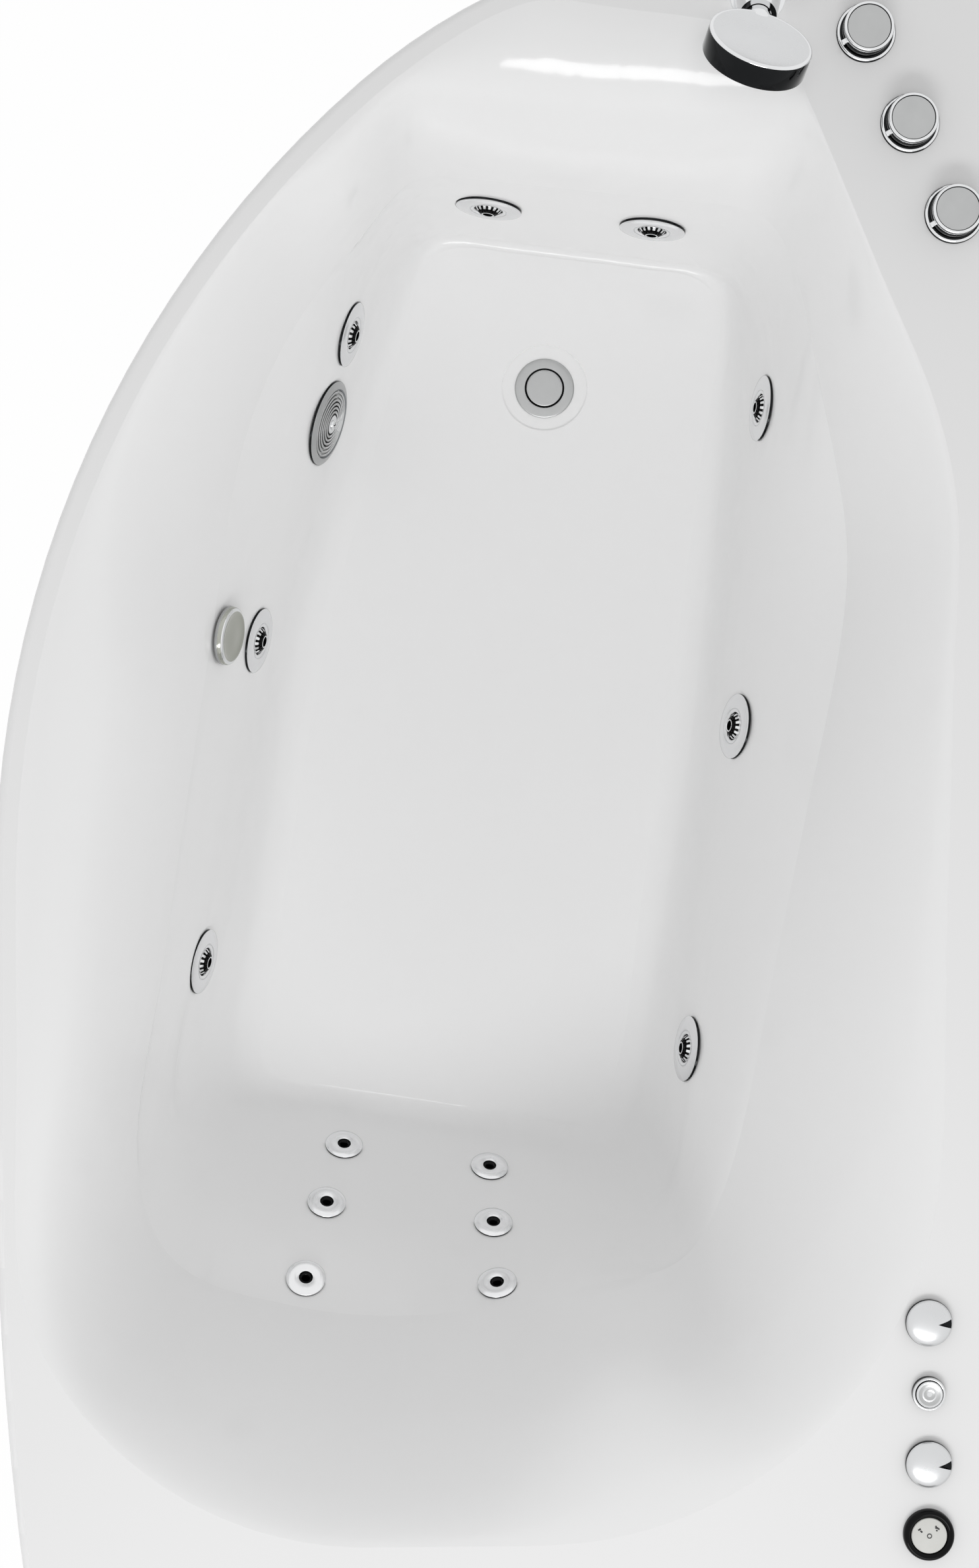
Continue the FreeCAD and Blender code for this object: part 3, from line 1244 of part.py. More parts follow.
keep(shaped("pump_tray", pump_tray()), "pump_tray")
inlet_end = pump_axis - Vector(size("volute_width") + size("inlet_reach"), 0, 0)
run_z = size("suction_run_height")
suction_low = Vector(suction_outlet.x - 6, suction_outlet.y, run_z)
keep(shaped("suction_pipe", tube([
    suction_outlet, suction_outlet + suction_down * 30, suction_low,
    Vector(suction_low.x, feed_y - 40, run_z), Vector(inlet_end.x - 90, pump_axis.y, pump_axis.z),
    inlet_end,
], size("suction_pipe_radius"), size("suction_pipe_radius") - 3, 60)), "suction_pipe")


# ---------------------------------------------------------------- output

doc.recompute()
os.makedirs("parts", exist_ok=True)
for item in doc.Objects:
    if "Invalid" in item.State or "Error" in item.State:
        raise RuntimeError("failed: " + item.Name)
for node in nodes:
    if node.Shape.isNull() or not node.Shape.isValid():
        raise RuntimeError("bad shape: " + node.Label)
    node.Shape.exportStep("parts/%s.step" % node.Label)
    print("%-22s %2d solids %12.0f mm3" % (node.Label, len(node.Shape.Solids), node.Shape.Volume))
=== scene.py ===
import json
import math

import bpy
from mathutils import Matrix, Vector


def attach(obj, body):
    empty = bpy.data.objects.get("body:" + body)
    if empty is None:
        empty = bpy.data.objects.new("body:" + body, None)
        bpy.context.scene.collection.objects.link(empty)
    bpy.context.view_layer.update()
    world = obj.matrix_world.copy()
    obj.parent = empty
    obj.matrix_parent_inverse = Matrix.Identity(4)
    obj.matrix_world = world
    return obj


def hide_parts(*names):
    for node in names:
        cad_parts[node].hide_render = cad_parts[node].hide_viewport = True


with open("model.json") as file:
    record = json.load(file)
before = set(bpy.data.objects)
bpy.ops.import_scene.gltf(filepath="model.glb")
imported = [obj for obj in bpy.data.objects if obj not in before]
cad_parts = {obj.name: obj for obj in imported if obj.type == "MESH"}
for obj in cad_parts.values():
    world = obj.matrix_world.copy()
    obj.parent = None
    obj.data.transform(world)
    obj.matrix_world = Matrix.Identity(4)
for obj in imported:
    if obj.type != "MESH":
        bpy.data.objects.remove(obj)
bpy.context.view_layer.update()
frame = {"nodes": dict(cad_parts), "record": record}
nodes = frame["nodes"]
slotOf = {part["node"]: part["material_slot"] for part in frame["record"]["subparts"]}
mm = 0.001
ringsPerWave = 0.314  # a wave texture of scale 1 has a ring every 0.314 units
smoothAngle = 38  # edges that turn more than this stay sharp, in degrees

# the camera looks straight down from above the middle of the bath
camera = {"place": (-0.015, 0.013, 2.8), "lens": 51.67}
cameraData = bpy.data.cameras.new("topCamera")
cameraData.lens = camera["lens"]
cameraData.clip_end = 50
cameraObject = bpy.data.objects.new("topCamera", cameraData)
cameraObject.location = camera["place"]
bpy.context.scene.collection.objects.link(cameraObject)
bpy.context.scene.camera = cameraObject
bpy.context.scene.view_settings.view_transform = "Standard"
print("camera placed")


# sRGB hex to a linear colour
def linear(code):
    parts = [int(code[i:i + 2], 16) / 255 for i in (1, 3, 5)]
    return tuple(p / 12.92 if p <= 0.04045 else ((p + 0.055) / 1.055) ** 2.4 for p in parts) + (1,)


# adds a node, sets its values, and links every input that is given as another node's output
def addNode(tree, kind, settings=None, inputs=None):
    node = tree.nodes.new(kind)
    for name, value in (settings or {}).items():
        setattr(node, name, value)
    for socket, value in (inputs or {}).items():
        if isinstance(value, bpy.types.NodeSocket):
            tree.links.new(value, node.inputs[socket])
        else:
            node.inputs[socket].default_value = value
    return node


# one finish: two close tones and two roughnesses that drift over the surface in patches as wide as
# drift, and a relief of a real size; both are in mm
def makeFinish(name, tones, drift, shine, relief, shader=None):
    material = bpy.data.materials.new(name)
    material.use_nodes = True
    tree = material.node_tree
    surface = tree.nodes["Principled BSDF"]
    for socket, value in (shader or {}).items():
        surface.inputs[socket].default_value = value
    place = addNode(tree, "ShaderNodeTexCoord").outputs["Object"]
    cloud = addNode(tree, "ShaderNodeTexNoise", None, {
        "Vector": place, "Scale": 1 / (drift * mm), "Detail": 3.0}).outputs["Fac"]
    tone = addNode(tree, "ShaderNodeMix", {"data_type": "RGBA"}, {0: cloud})
    tone.inputs[6].default_value = linear(tones[0])
    tone.inputs[7].default_value = linear(tones[1])
    tree.links.new(tone.outputs[2], surface.inputs["Base Color"])
    gloss = addNode(tree, "ShaderNodeMapRange", None, {
        "Value": cloud, "To Min": shine[0], "To Max": shine[1]})
    tree.links.new(gloss.outputs["Result"], surface.inputs["Roughness"])
    kind, grain, height = relief
    if kind == "grain":
        pattern = addNode(tree, "ShaderNodeTexNoise", None, {
            "Vector": place, "Scale": 1 / (grain * mm), "Detail": 2.0}).outputs["Fac"]
    elif kind == "cells":
        pattern = addNode(tree, "ShaderNodeTexVoronoi", None, {
            "Vector": place, "Scale": 1 / (grain * mm)}).outputs["Distance"]
    else:
        rings = {"wave_type": "RINGS", "rings_direction": "Z"}
        pattern = addNode(tree, "ShaderNodeTexWave", rings, {
            "Vector": place, "Scale": ringsPerWave / (grain * mm),
            "Distortion": 1.5}).outputs["Fac"]
    bump = addNode(tree, "ShaderNodeBump", None, {
        "Height": pattern, "Strength": 1.0, "Distance": height * mm})
    tree.links.new(bump.outputs["Normal"], surface.inputs["Normal"])
    return material


finishes = {
    # cast acrylic sheet, drawn over a mould and polished: even white, long soft waves in its gloss
    "acrylic": makeFinish("polishedAcrylic", ("#fafafa", "#fcfcfc"), 260, (0.10, 0.14),
                          ("grain", 90, 0.25), {"IOR": 1.49}),
    # the same sheet, folded flat: a little more orange peel
    "panel": makeFinish("foldedAcrylicPanel", ("#e9eaea", "#ecedec"), 180, (0.16, 0.22),
                        ("grain", 6, 0.04), {"IOR": 1.49}),
    # chipboard under glass-fibre resin: chips show through a yellowish gloss
    "board": makeFinish("resinedChipboard", ("#b79c68", "#d6c193"), 7, (0.25, 0.5),
                        ("cells", 5, 0.35), {"Coat Weight": 0.4, "Coat Roughness": 0.15}),
    # powder-coated steel tube: pale grey with the coat's fine peel
    "frameSteel": makeFinish("powderCoatedTube", ("#c3c6c8", "#cfd1d2"), 120, (0.38, 0.5),
                             ("grain", 1.6, 0.05), {"IOR": 1.5}),
    # zinc-plated steel: bluish grey, cloudy where the bath passivated it
    "zinc": makeFinish("zincPlatedSteel", ("#b4b8bd", "#cfd0cc"), 14, (0.22, 0.42),
                       ("grain", 2.5, 0.02), {"Metallic": 1.0}),
    # moulded rubber: dull black with a fine mould texture
    "footRubber": makeFinish("mouldedRubber", ("#17181a", "#202123"), 30, (0.6, 0.75),
                             ("grain", 1.2, 0.06), {"IOR": 1.52}),
    # chromium over polished brass or ABS: near-white mirror with the faintest wave
    "chrome": makeFinish("polishedChromePlate", ("#dfe0e1", "#e6e7e8"), 60, (0.03, 0.07),
                         ("grain", 22, 0.02), {"Metallic": 1.0}),
    # chromium over pearl nickel, on the jets' faces: the same mirror, softer and whiter
    "brightChrome": makeFinish("pearlChromePlate", ("#e6e7e8", "#eeeeef"), 60, (0.16, 0.24),
                               ("grain", 22, 0.02), {"Metallic": 1.0}),
    # chromium over bead-blasted nickel: a satin mirror, light grey, that smears what it reflects
    "softChrome": makeFinish("satinChromePlate", ("#d2d3d4", "#dbdcdd"), 30, (0.24, 0.32),
                             ("grain", 12, 0.015), {"Metallic": 1.0}),
    # the same plate, brushed darker, on the taps' tops and round the waste
    "greyChrome": makeFinish("brushedChromePlate", ("#b3b4b4", "#bebfbf"), 18, (0.3, 0.42),
                             ("rings", 1.4, 0.01), {"Metallic": 1.0}),
    # a near-black mirror in the trim's edges, bands and recesses: painted dark reflection and
    # painted shade that draws each rim as a line
    "darkChrome": makeFinish("paintedDarkReflectionChrome", ("#1c1d1e", "#2a2b2c"), 40, (0.04, 0.09),
                             ("grain", 18, 0.02), {"Metallic": 1.0}),
    # nickel with a warm grey tint, polished: the overflow's control plate
    "tintedNickel": makeFinish("polishedNickelPlate", ("#a3a49b", "#b6b7b0"), 35, (0.08, 0.16),
                               ("grain", 15, 0.03), {"Metallic": 1.0}),
    # stainless steel, brushed in circles: soft grey, with rings a few tenths of a millimetre wide
    "satin": makeFinish("brushedStainless", ("#b9bab9", "#c6c7c6"), 25, (0.34, 0.44),
                        ("rings", 0.9, 0.012), {"Metallic": 1.0}),
    # injection-moulded ABS, black: a low gloss with a fine grain
    "blackPlastic": makeFinish("mouldedBlackPlastic", ("#101011", "#18181a"), 20, (0.3, 0.42),
                               ("grain", 1.4, 0.02), {"IOR": 1.54}),
    # lacquered ABS, black: piano gloss
    "glossBlack": makeFinish("lacqueredBlack", ("#060607", "#0a0a0b"), 30, (0.05, 0.1),
                             ("grain", 12, 0.01), {"IOR": 1.4, "Specular IOR Level": 0.18}),
    # polycarbonate key face: milky, half gloss
    "paleDisc": makeFinish("milkyPolycarbonate", ("#dcdcd7", "#e4e4e0"), 12, (0.2, 0.3),
                           ("grain", 3, 0.01), {"IOR": 1.58}),
    # polypropylene nuts and wheel: mid grey, waxy
    "greyPlastic": makeFinish("mouldedGreyPlastic", ("#84878a", "#929598"), 18, (0.4, 0.5),
                              ("grain", 2, 0.03), {"IOR": 1.49}),
    # extruded PVC pipe: off-white, half gloss, with long die marks
    "pvc": makeFinish("extrudedPvc", ("#d3d5d4", "#e0e1df"), 70, (0.26, 0.38),
                      ("grain", 8, 0.05), {"IOR": 1.53}),
    # soft PVC hose: cloudy grey
    "hose": makeFinish("softPvcHose", ("#9fa3a6", "#b0b4b6"), 40, (0.3, 0.42),
                       ("grain", 3, 0.03), {"IOR": 1.53, "Transmission Weight": 0.05}),
    # glass-filled nylon: charcoal with fibres that roughen it
    "pumpNylon": makeFinish("glassFilledNylon", ("#1a1b1c", "#27282a"), 10, (0.42, 0.58),
                            ("cells", 2.2, 0.06), {"IOR": 1.53}),
    # enamel on die-cast aluminium: blue, orange peel over the casting's grain
    "motorEnamel": makeFinish("blueEnamelledCasting", ("#1f4a78", "#28588a"), 50, (0.26, 0.36),
                              ("grain", 3.5, 0.12), {"Coat Weight": 0.3}),
    # turned brass valve body: yellow with fine lathe rings
    "brass": makeFinish("turnedBrass", ("#a98443", "#bf9a58"), 20, (0.24, 0.34),
                        ("rings", 1.2, 0.02), {"Metallic": 1.0}),
    # moulded polypropylene waste fittings: plain white, waxy
    "wasteWhite": makeFinish("mouldedPolypropylene", ("#dedfdc", "#e8e9e6"), 40, (0.36, 0.46),
                             ("grain", 2.4, 0.04), {"IOR": 1.49}),
}
finishOfSlot = {
    "acrylic_white": "acrylic", "panel_white": "panel", "board_resin": "board",
    "frame_steel": "frameSteel", "zinc_steel": "zinc", "foot_black": "footRubber",
    "fitting_chrome": "chrome", "satin_metal": "satin", "black_plastic": "blackPlastic",
    "gloss_black": "glossBlack", "pale_disc": "paleDisc", "grey_plastic": "greyPlastic",
    "pipe_pvc": "pvc", "hose_grey": "hose", "pump_black": "pumpNylon",
    "motor_blue": "motorEnamel", "brass_valve": "brass", "trap_white": "wasteWhite",
}
for name, node in nodes.items():
    node.data.materials.clear()
    node.data.materials.append(finishes[finishOfSlot[slotOf[name]]])
print("finishes made:", len(finishes))


def selectOnly(piece):
    bpy.ops.object.select_all(action="DESELECT")
    piece.select_set(True)
    bpy.context.view_layer.objects.active = piece


# where a fitting sits: its point in mm, the way it faces, and a turn about that way
def placing(at, facing=(0, 0, 1), turn=0):
    z = Vector(facing).normalized()
    x = Vector((0, 0, 1)).cross(z) if abs(z.z) < 0.999 else Vector((1, 0, 0))
    x.normalize()
    axes = Matrix((x, z.cross(x), z)).transposed().to_4x4()
    return (Matrix.Translation(Vector(at) * mm) @ axes
            @ Matrix.Rotation(math.radians(turn), 4, "Z"))


# how far a face's middle is from the piece's axis, in mm
def farOut(polygon):
    return math.hypot(*polygon.center.xy) / mm


# a round piece, extruded ring by ring from a circle; a row is radius, height and the finish of the
# face that ends there, and the first row's finish closes the piece
def turnedPiece(name, profile, sides=96):
    radius, height, closing = profile[0]
    bpy.ops.object.select_all(action="DESELECT")
    bpy.ops.mesh.primitive_circle_add(vertices=sides, radius=radius * mm,
                                      location=(0, 0, height * mm))
    piece = bpy.context.object
    piece.name = name
    bpy.ops.object.transform_apply(location=True, rotation=True, scale=True)
    bpy.ops.object.mode_set(mode="EDIT")
    bpy.ops.mesh.select_mode(type="VERT")
    bpy.ops.mesh.select_all(action="SELECT")
    for nextRadius, nextHeight, _ in profile[1:]:
        bpy.ops.mesh.extrude_edges_move(
            TRANSFORM_OT_translate={"value": (0, 0, (nextHeight - height) * mm)})
        if nextRadius > 0:
            grow = nextRadius / radius
            bpy.ops.transform.resize(value=(grow, grow, 1), center_override=(0, 0, 0))
        else:
            bpy.ops.mesh.merge(type="CENTER")
        radius, height = nextRadius, nextHeight
    bpy.ops.mesh.select_all(action="DESELECT")
    bpy.ops.mesh.select_non_manifold()
    if radius > 0:
        bpy.ops.mesh.bridge_edge_loops()
    else:
        bpy.ops.mesh.edge_face_add()
    bpy.ops.mesh.select_all(action="SELECT")
    bpy.ops.mesh.normals_make_consistent(inside=False)
    bpy.ops.object.mode_set(mode="OBJECT")
    bands = [((a[0] + b[0]) / 2, (a[1] + b[1]) / 2, b[2]) for a, b in zip(profile, profile[1:])]
    if radius > 0:
        bands.append(((profile[0][0] + radius) / 2, (profile[0][1] + height) / 2, closing))
    used = sorted({band[2] for band in bands} | {closing})
    for finish in used:
        piece.data.materials.append(finishes[finish])
    for polygon in piece.data.polygons:
        far, high = farOut(polygon), polygon.center.z / mm
        nearest = min(bands, key=lambda band: (band[0] - far) ** 2 + (band[1] - high) ** 2)
        polygon.material_index = used.index(closing if len(polygon.vertices) > 4 else nearest[2])
    return piece


# smooths a piece between its edges, hands it to a body and hides the CAD nodes it stands for
def settle(piece, body, slot, *stoodFor):
    selectOnly(piece)
    bpy.ops.object.transform_apply(location=True, rotation=True, scale=True)
    bpy.ops.object.shade_smooth_by_angle(angle=math.radians(smoothAngle))
    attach(piece, body)
    if stoodFor:
        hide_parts(*stoodFor)
    return piece


# a turned piece that stands in one place
def setDown(name, profile, where, body, slot, *stoodFor, sides=96):
    piece = turnedPiece(name, profile, sides)
    piece.matrix_world = where
    return settle(piece, body, slot, *stoodFor)


# a small bar with rounded edges; its sides, middle and rounding are in mm
def roundedBar(name, sides, rounding, segments, finish, middle=(0, 0, 0)):
    bpy.ops.object.select_all(action="DESELECT")
    bpy.ops.mesh.primitive_cube_add(size=1, location=Vector(middle) * mm)
    bar = bpy.context.object
    bar.name = name
    bar.scale = Vector(sides) * mm
    bpy.ops.object.transform_apply(location=True, rotation=True, scale=True)
    edges = bar.modifiers.new("rounding", "BEVEL")
    edges.width = rounding * mm
    edges.segments = segments
    bpy.ops.object.modifier_apply(modifier=edges.name)
    bar.data.materials.append(finishes[finish])
    return bar


def copyTo(piece, name, where):
    selectOnly(piece)
    bpy.ops.object.duplicate()
    copied = bpy.context.object
    copied.name = name
    copied.matrix_world = where
    return copied


# picks the faces that a test names, ready for an edit-mode operator
def pickFaces(piece, wanted):
    selectOnly(piece)
    bpy.ops.object.mode_set(mode="EDIT")
    bpy.ops.mesh.select_mode(type="FACE")
    bpy.ops.mesh.select_all(action="DESELECT")
    bpy.ops.object.mode_set(mode="OBJECT")
    for polygon in piece.data.polygons:
        polygon.select = wanted(polygon)
    bpy.ops.object.mode_set(mode="EDIT")


# takes a cutter out of a piece; the cut faces keep the cutter's finish
def carve(piece, cutter):
    selectOnly(piece)
    cut = piece.modifiers.new("cut", "BOOLEAN")
    cut.operation = "DIFFERENCE"
    cut.solver = "EXACT"
    cut.object = cutter
    cut.material_mode = "TRANSFER"
    bpy.ops.object.modifier_apply(modifier=cut.name)
    bpy.data.objects.remove(cutter)


# paints a fitting's edge bright on its lower side as a painted lit side, so that only the upper
# side draws its painted dark line
def paintLitLowerEdge(piece, inside):
    paintedLitSlot = piece.data.materials.find("pearlChromePlate")
    for polygon in piece.data.polygons:
        if farOut(polygon) > inside and polygon.center.y < 0.1 * inside * mm:
            polygon.material_index = paintedLitSlot


# water jets: a ring on the wall and a ball that swivels in it
jets = {
    "spots": [  # point on the wall in mm, and the way the jet faces
        ((-337.51, -186.29, 270.0), (0.9536, -0.1896, 0.2337)),
        ((-275.63, 174.45, 270.0), (0.9503, -0.2140, 0.2261)),
        ((-171.29, 518.41, 270.0), (0.9407, -0.2929, 0.1713)),
        ((-15.75, 653.53, 300.0), (-0.1490, -0.9882, 0.0359)),
        ((165.98, 630.11, 300.0), (-0.1293, -0.9902, 0.0538)),
        ((291.29, 435.18, 270.0), (-0.9758, 0.0925, 0.1980)),
        ((261.98, 77.72, 270.0), (-0.9362, 0.1197, 0.3305)),
        ((207.90, -284.43, 270.0), (-0.9576, 0.1313, 0.2566)),
    ],
    "ballRadius": 18, "ballSeat": 8, "teeth": 14, "toothDepth": 1.1,
    "innerTeeth": (7.6, 9.6), "outerTeeth": (10.4, 14.3),  # nearest to and farthest from the axis
    "brightTeeth": 11.0, "blackWithin": 50,  # mm from the axis, and degrees from it
    "edge": 35.8,  # the ring's face ends here and its edge begins
    "ballRings": (140, 128, 115, 102, 90, 80, 70, 61, 53, 46, 40, 34, 28, 23),  # also degrees
}
ringPiece = turnedPiece("jetRing", [
    (33.4, 2.05, "brightChrome"), (33.4, 0.05, "darkChrome"), (37.0, 0.05, "darkChrome"),
    (37.0, 1.9, "darkChrome"), (36.6, 2.5, "darkChrome"), (35.6, 3.0, "brightChrome"),
    (34.0, 3.5, "brightChrome"), (31.5, 4.2, "brightChrome"), (28.5, 4.8, "brightChrome"),
    (25.5, 5.0, "brightChrome"), (22.6, 4.9, "brightChrome"), (20.6, 4.4, "brightChrome"),
    (20.2, 3.9, "softChrome"), (19.7, 3.9, "softChrome"), (19.3, 4.3, "brightChrome"),
    (17.2, 3.9, "brightChrome"), (16.2, 3.3, "brightChrome"), (15.9, 2.5, "brightChrome"),
    (16.9, 2.05, "softChrome"),
])
# the ring's edge: painted lit below, painted dark reflection above
paintLitLowerEdge(ringPiece, jets["edge"])
ballRows = []
for degrees in jets["ballRings"]:
    angle = math.radians(degrees)
    ballRows.append((jets["ballRadius"] * math.sin(angle),
                     jets["ballRadius"] * math.cos(angle) - jets["ballSeat"],
                     "brightChrome" if degrees > jets["blackWithin"] else "glossBlack"))
ballPiece = turnedPiece("jetBall", ballRows + [
    (6.2, 8.9, "chrome"), (5.6, 8.4, "chrome"), (5.9, 4.0, "glossBlack"), (8.0, -8.0, "glossBlack"),
    (11.3, -21.6, "glossBlack"),
], sides=jets["teeth"] * 4)


# every other tooth of two rings round the nozzle is sunk; in the outer ring those left are bright
def isTooth(polygon):
    middle, far = polygon.center, farOut(polygon)
    inner, outer = jets["innerTeeth"], jets["outerTeeth"]
    if middle.z < 0 or not inner[0] < far < outer[1] or inner[1] < far < outer[0]:
        return False
    step = int((math.atan2(middle.y, middle.x) / math.tau % 1) * jets["teeth"] * 2)
    return (step + (far > inner[1])) % 2 == 0


pickFaces(ballPiece, isTooth)
bpy.ops.mesh.extrude_region_shrink_fatten(
    TRANSFORM_OT_shrink_fatten={"value": -jets["toothDepth"] * mm})
bpy.ops.object.mode_set(mode="OBJECT")
chromeSlot = ballPiece.data.materials.find("polishedChromePlate")
for polygon in ballPiece.data.polygons:
    inRing = jets["brightTeeth"] < farOut(polygon) < jets["outerTeeth"][1]
    if inRing and polygon.normal.z > 0.5 and not polygon.select and not isTooth(polygon):
        polygon.material_index = chromeSlot
for number, (at, facing) in enumerate(jets["spots"], 1):
    settle(copyTo(ringPiece, "jetRing%d" % number, placing(at, facing)), "bath", "fitting_chrome",
           "jet_rings")
    settle(copyTo(ballPiece, "jetBall%d" % number, placing(at, facing)), "eyeball_%d" % number,
           "black_plastic", "jet_eyeball_%d" % number)
bpy.data.objects.remove(ringPiece)
bpy.data.objects.remove(ballPiece)
print("water jets made")

# back jets: a pale domed face with a thin edge and a black nozzle
backJets = {
    "spots": [
        ((-181.36, -399.63, 228.0), (0.1279, 0.8143, 0.5662)),
        ((-195.79, -451.87, 302.0), (0.1310, 0.7718, 0.6222)),
        ((-213.03, -519.74, 376.0), (0.1281, 0.6690, 0.7321)),
        ((-15.13, -424.47, 228.0), (0.1183, 0.8282, 0.5477)),
        ((-10.81, -474.13, 302.0), (0.0659, 0.8278, 0.5571)),
        ((-6.70, -524.98, 376.0), (-0.0928, 0.8204, 0.5641)),
    ],
    "edge": 20.6,  # the domed face ends here and its edge begins
}
# the face's edge and the wall of its hole are painted dark: painted reflection and painted shade
facePiece = turnedPiece("backJetFace", [
    (19.9, 0.6, "brightChrome"), (19.9, 0.05, "darkChrome"), (21.5, 0.05, "darkChrome"),
    (21.5, 1.6, "darkChrome"), (21.1, 2.2, "brightChrome"), (20.3, 2.7, "brightChrome"),
    (18.9, 3.3, "brightChrome"), (17.1, 3.8, "brightChrome"), (15.0, 4.0, "brightChrome"),
    (12.0, 3.9, "brightChrome"), (9.4, 3.4, "brightChrome"), (7.6, 2.9, "brightChrome"),
    (6.95, 2.5, "darkChrome"), (6.9, 0.6, "darkChrome"),
])
# the face's edge: painted lit below, painted dark reflection above
paintLitLowerEdge(facePiece, backJets["edge"])
nozzlePiece = turnedPiece("backJetNozzle", [
    (3.0, -8.9, "glossBlack"), (6.5, -8.9, "glossBlack"), (6.5, 1.9, "glossBlack"),
    (6.2, 2.3, "glossBlack"), (5.4, 2.4, "glossBlack"), (4.3, 1.6, "glossBlack"),
    (3.2, -0.5, "glossBlack"),
], sides=64)
for number, (at, facing) in enumerate(backJets["spots"], 1):
    settle(copyTo(facePiece, "backJetFace%d" % number, placing(at, facing)), "bath",
           "fitting_chrome", "back_jet_faces")
    settle(copyTo(nozzlePiece, "backJetNozzle%d" % number, placing(at, facing)), "bath",
           "black_plastic", "back_jet_nozzles")
bpy.data.objects.remove(facePiece)
bpy.data.objects.remove(nozzlePiece)
print("back jets made")

# suction cover: rings of ribs over slots, the inner slots' floors black as painted shade and the
# rim painted dark, held by one domed screw
suction = {"at": (-198.44, 421.69, 252.0), "facing": (0.9263, -0.3033, 0.2237),
           "ribs": 6, "firstRib": 13.0, "ribPitch": 4.5, "ribWidth": 2.6, "ribEdge": 0.4,
           "slotDepth": 3.2, "paintedShadeWithin": 29,
           "top": 7.0, "dome": 0.0016,  # the ribs' height, and its fall with the radius squared
           "screwSlot": (6.4, 1.1, 2.6), "screwSlotLevel": 9.0, "screwTurn": 20}
ribRows = []
ribEdge, slotDepth = suction["ribEdge"], suction["slotDepth"]
for rib in range(suction["ribs"]):
    inner = suction["firstRib"] + suction["ribPitch"] * (suction["ribs"] - 1 - rib)
    outer = inner + suction["ribWidth"]
    top = suction["top"] - suction["dome"] * outer ** 2
    # slot floors near the middle are gloss black: painted shade down the slots
    slotFinish = "glossBlack" if inner < suction["paintedShadeWithin"] else "greyPlastic"
    ribRows += [(outer, top - slotDepth, slotFinish), (outer, top - ribEdge, "satin"),
                (outer - ribEdge, top, "greyChrome"), (inner + ribEdge, top, "greyChrome"),
                (inner, top - ribEdge, "chrome"), (inner, top - slotDepth, "satin")]
setDown("suctionCover", [
    (41.6, 2.4, "satin"), (41.6, 0.05, "satin"), (49.0, 0.05, "darkChrome"),
    (49.0, 1.4, "darkChrome"), (48.4, 2.3, "darkChrome"), (46.5, 3.2, "greyChrome"),
    (43.0, 4.4, "greyChrome"), (40.4, 5.0, "greyChrome"),
] + ribRows + [
    (10.6, 3.7, "glossBlack"), (10.6, 6.4, "chrome"), (9.9, 7.0, "chrome"), (6.6, 7.1, "chrome"),
    (3.2, 7.0, "chrome"), (3.2, 2.4, "satin"),
], placing(suction["at"], suction["facing"]), "bath", "satin_metal", "suction_grille")
screw = turnedPiece("suctionScrew", [
    (2.7, -17.8, "zinc"), (2.7, 7.1, "zinc"), (6.0, 7.1, "zinc"), (6.0, 7.7, "chrome"),
    (5.4, 8.6, "chrome"), (3.8, 9.1, "chrome"), (0, 9.3, "chrome"),
], sides=48)
for turn in (0, 90):
    bpy.ops.object.select_all(action="DESELECT")
    bpy.ops.mesh.primitive_cube_add(size=1, location=(0, 0, suction["screwSlotLevel"] * mm),
                                    rotation=(0, 0, math.radians(turn)))
    slotCutter = bpy.context.object
    slotCutter.scale = Vector(suction["screwSlot"]) * mm
    # the slot's cut faces are painted dark: painted shade in the slot
    slotCutter.data.materials.append(finishes["darkChrome"])
    carve(screw, slotCutter)
screw.matrix_world = placing(suction["at"], suction["facing"], suction["screwTurn"])
settle(screw, "bath", "zinc_steel", "suction_screw")
print("suction cover made")

# overflow: the turning plate that lifts the plug
overflow = {"at": (-302.10, 174.13, 368.0), "facing": (0.9451, -0.1712, 0.2784)}
# the plate's stem, underside and lower edge are painted dark: painted shade under it and a painted
# dark reflection round it
setDown("overflowPlate", [
    (5.0, -29.8, "darkChrome"), (5.0, 1.6, "darkChrome"), (28.6, 1.6, "darkChrome"),
    (31.2, 2.6, "darkChrome"), (32.0, 4.0, "greyChrome"), (32.0, 6.4, "greyChrome"),
    (31.6, 8.6, "tintedNickel"), (30.6, 10.4, "tintedNickel"), (28.8, 11.7, "chrome"),
    (27.4, 12.0, "chrome"), (25.8, 11.8, "tintedNickel"), (24.6, 11.2, "tintedNickel"),
    (19.0, 10.6, "tintedNickel"), (12.0, 10.9, "tintedNickel"), (5.0, 11.3, "tintedNickel"),
    (0, 11.4, "tintedNickel"),
], placing(overflow["at"], overflow["facing"]), "overflow_knob", "fitting_chrome", "overflow_knob")

# waste: a shallow flange in the floor and the plug that rises through it
waste = {"at": (49.28, 475.67, 167.5)}
# the flange's inner lip is painted dark: painted shade at the gap round the plug
setDown("wasteFlange", [
    (21.9, -30.0, "satin"), (25.0, -30.0, "satin"), (25.0, 0.05, "satin"), (34.7, 0.05, "satin"),
    (34.7, 0.7, "greyChrome"), (34.2, 1.3, "greyChrome"), (33.0, 1.7, "greyChrome"),
    (30.0, 2.0, "greyChrome"), (26.0, 2.2, "greyChrome"), (23.2, 2.2, "greyChrome"),
    (22.3, 1.8, "darkChrome"), (21.9, 1.0, "darkChrome"),
], placing(waste["at"]), "bath", "fitting_chrome", "drain_flange")
# the plug's underside is black and its rim dark: painted shade in the gap round the plug
setDown("wastePlug", [
    (3.0, -26.0, "satin"), (3.0, -3.0, "satin"), (18.4, -3.0, "glossBlack"),
    (20.8, -0.6, "glossBlack"), (21.4, 0.2, "darkChrome"), (21.4, 2.2, "darkChrome"),
    (21.0, 2.9, "darkChrome"), (20.2, 3.3, "greyChrome"), (18.8, 3.4, "greyChrome"),
    (12.0, 3.5, "greyChrome"), (5.0, 3.6, "greyChrome"), (0, 3.6, "greyChrome"),
], placing(waste["at"]), "drain_plug", "satin_metal", "drain_plug")
print("overflow and waste made")

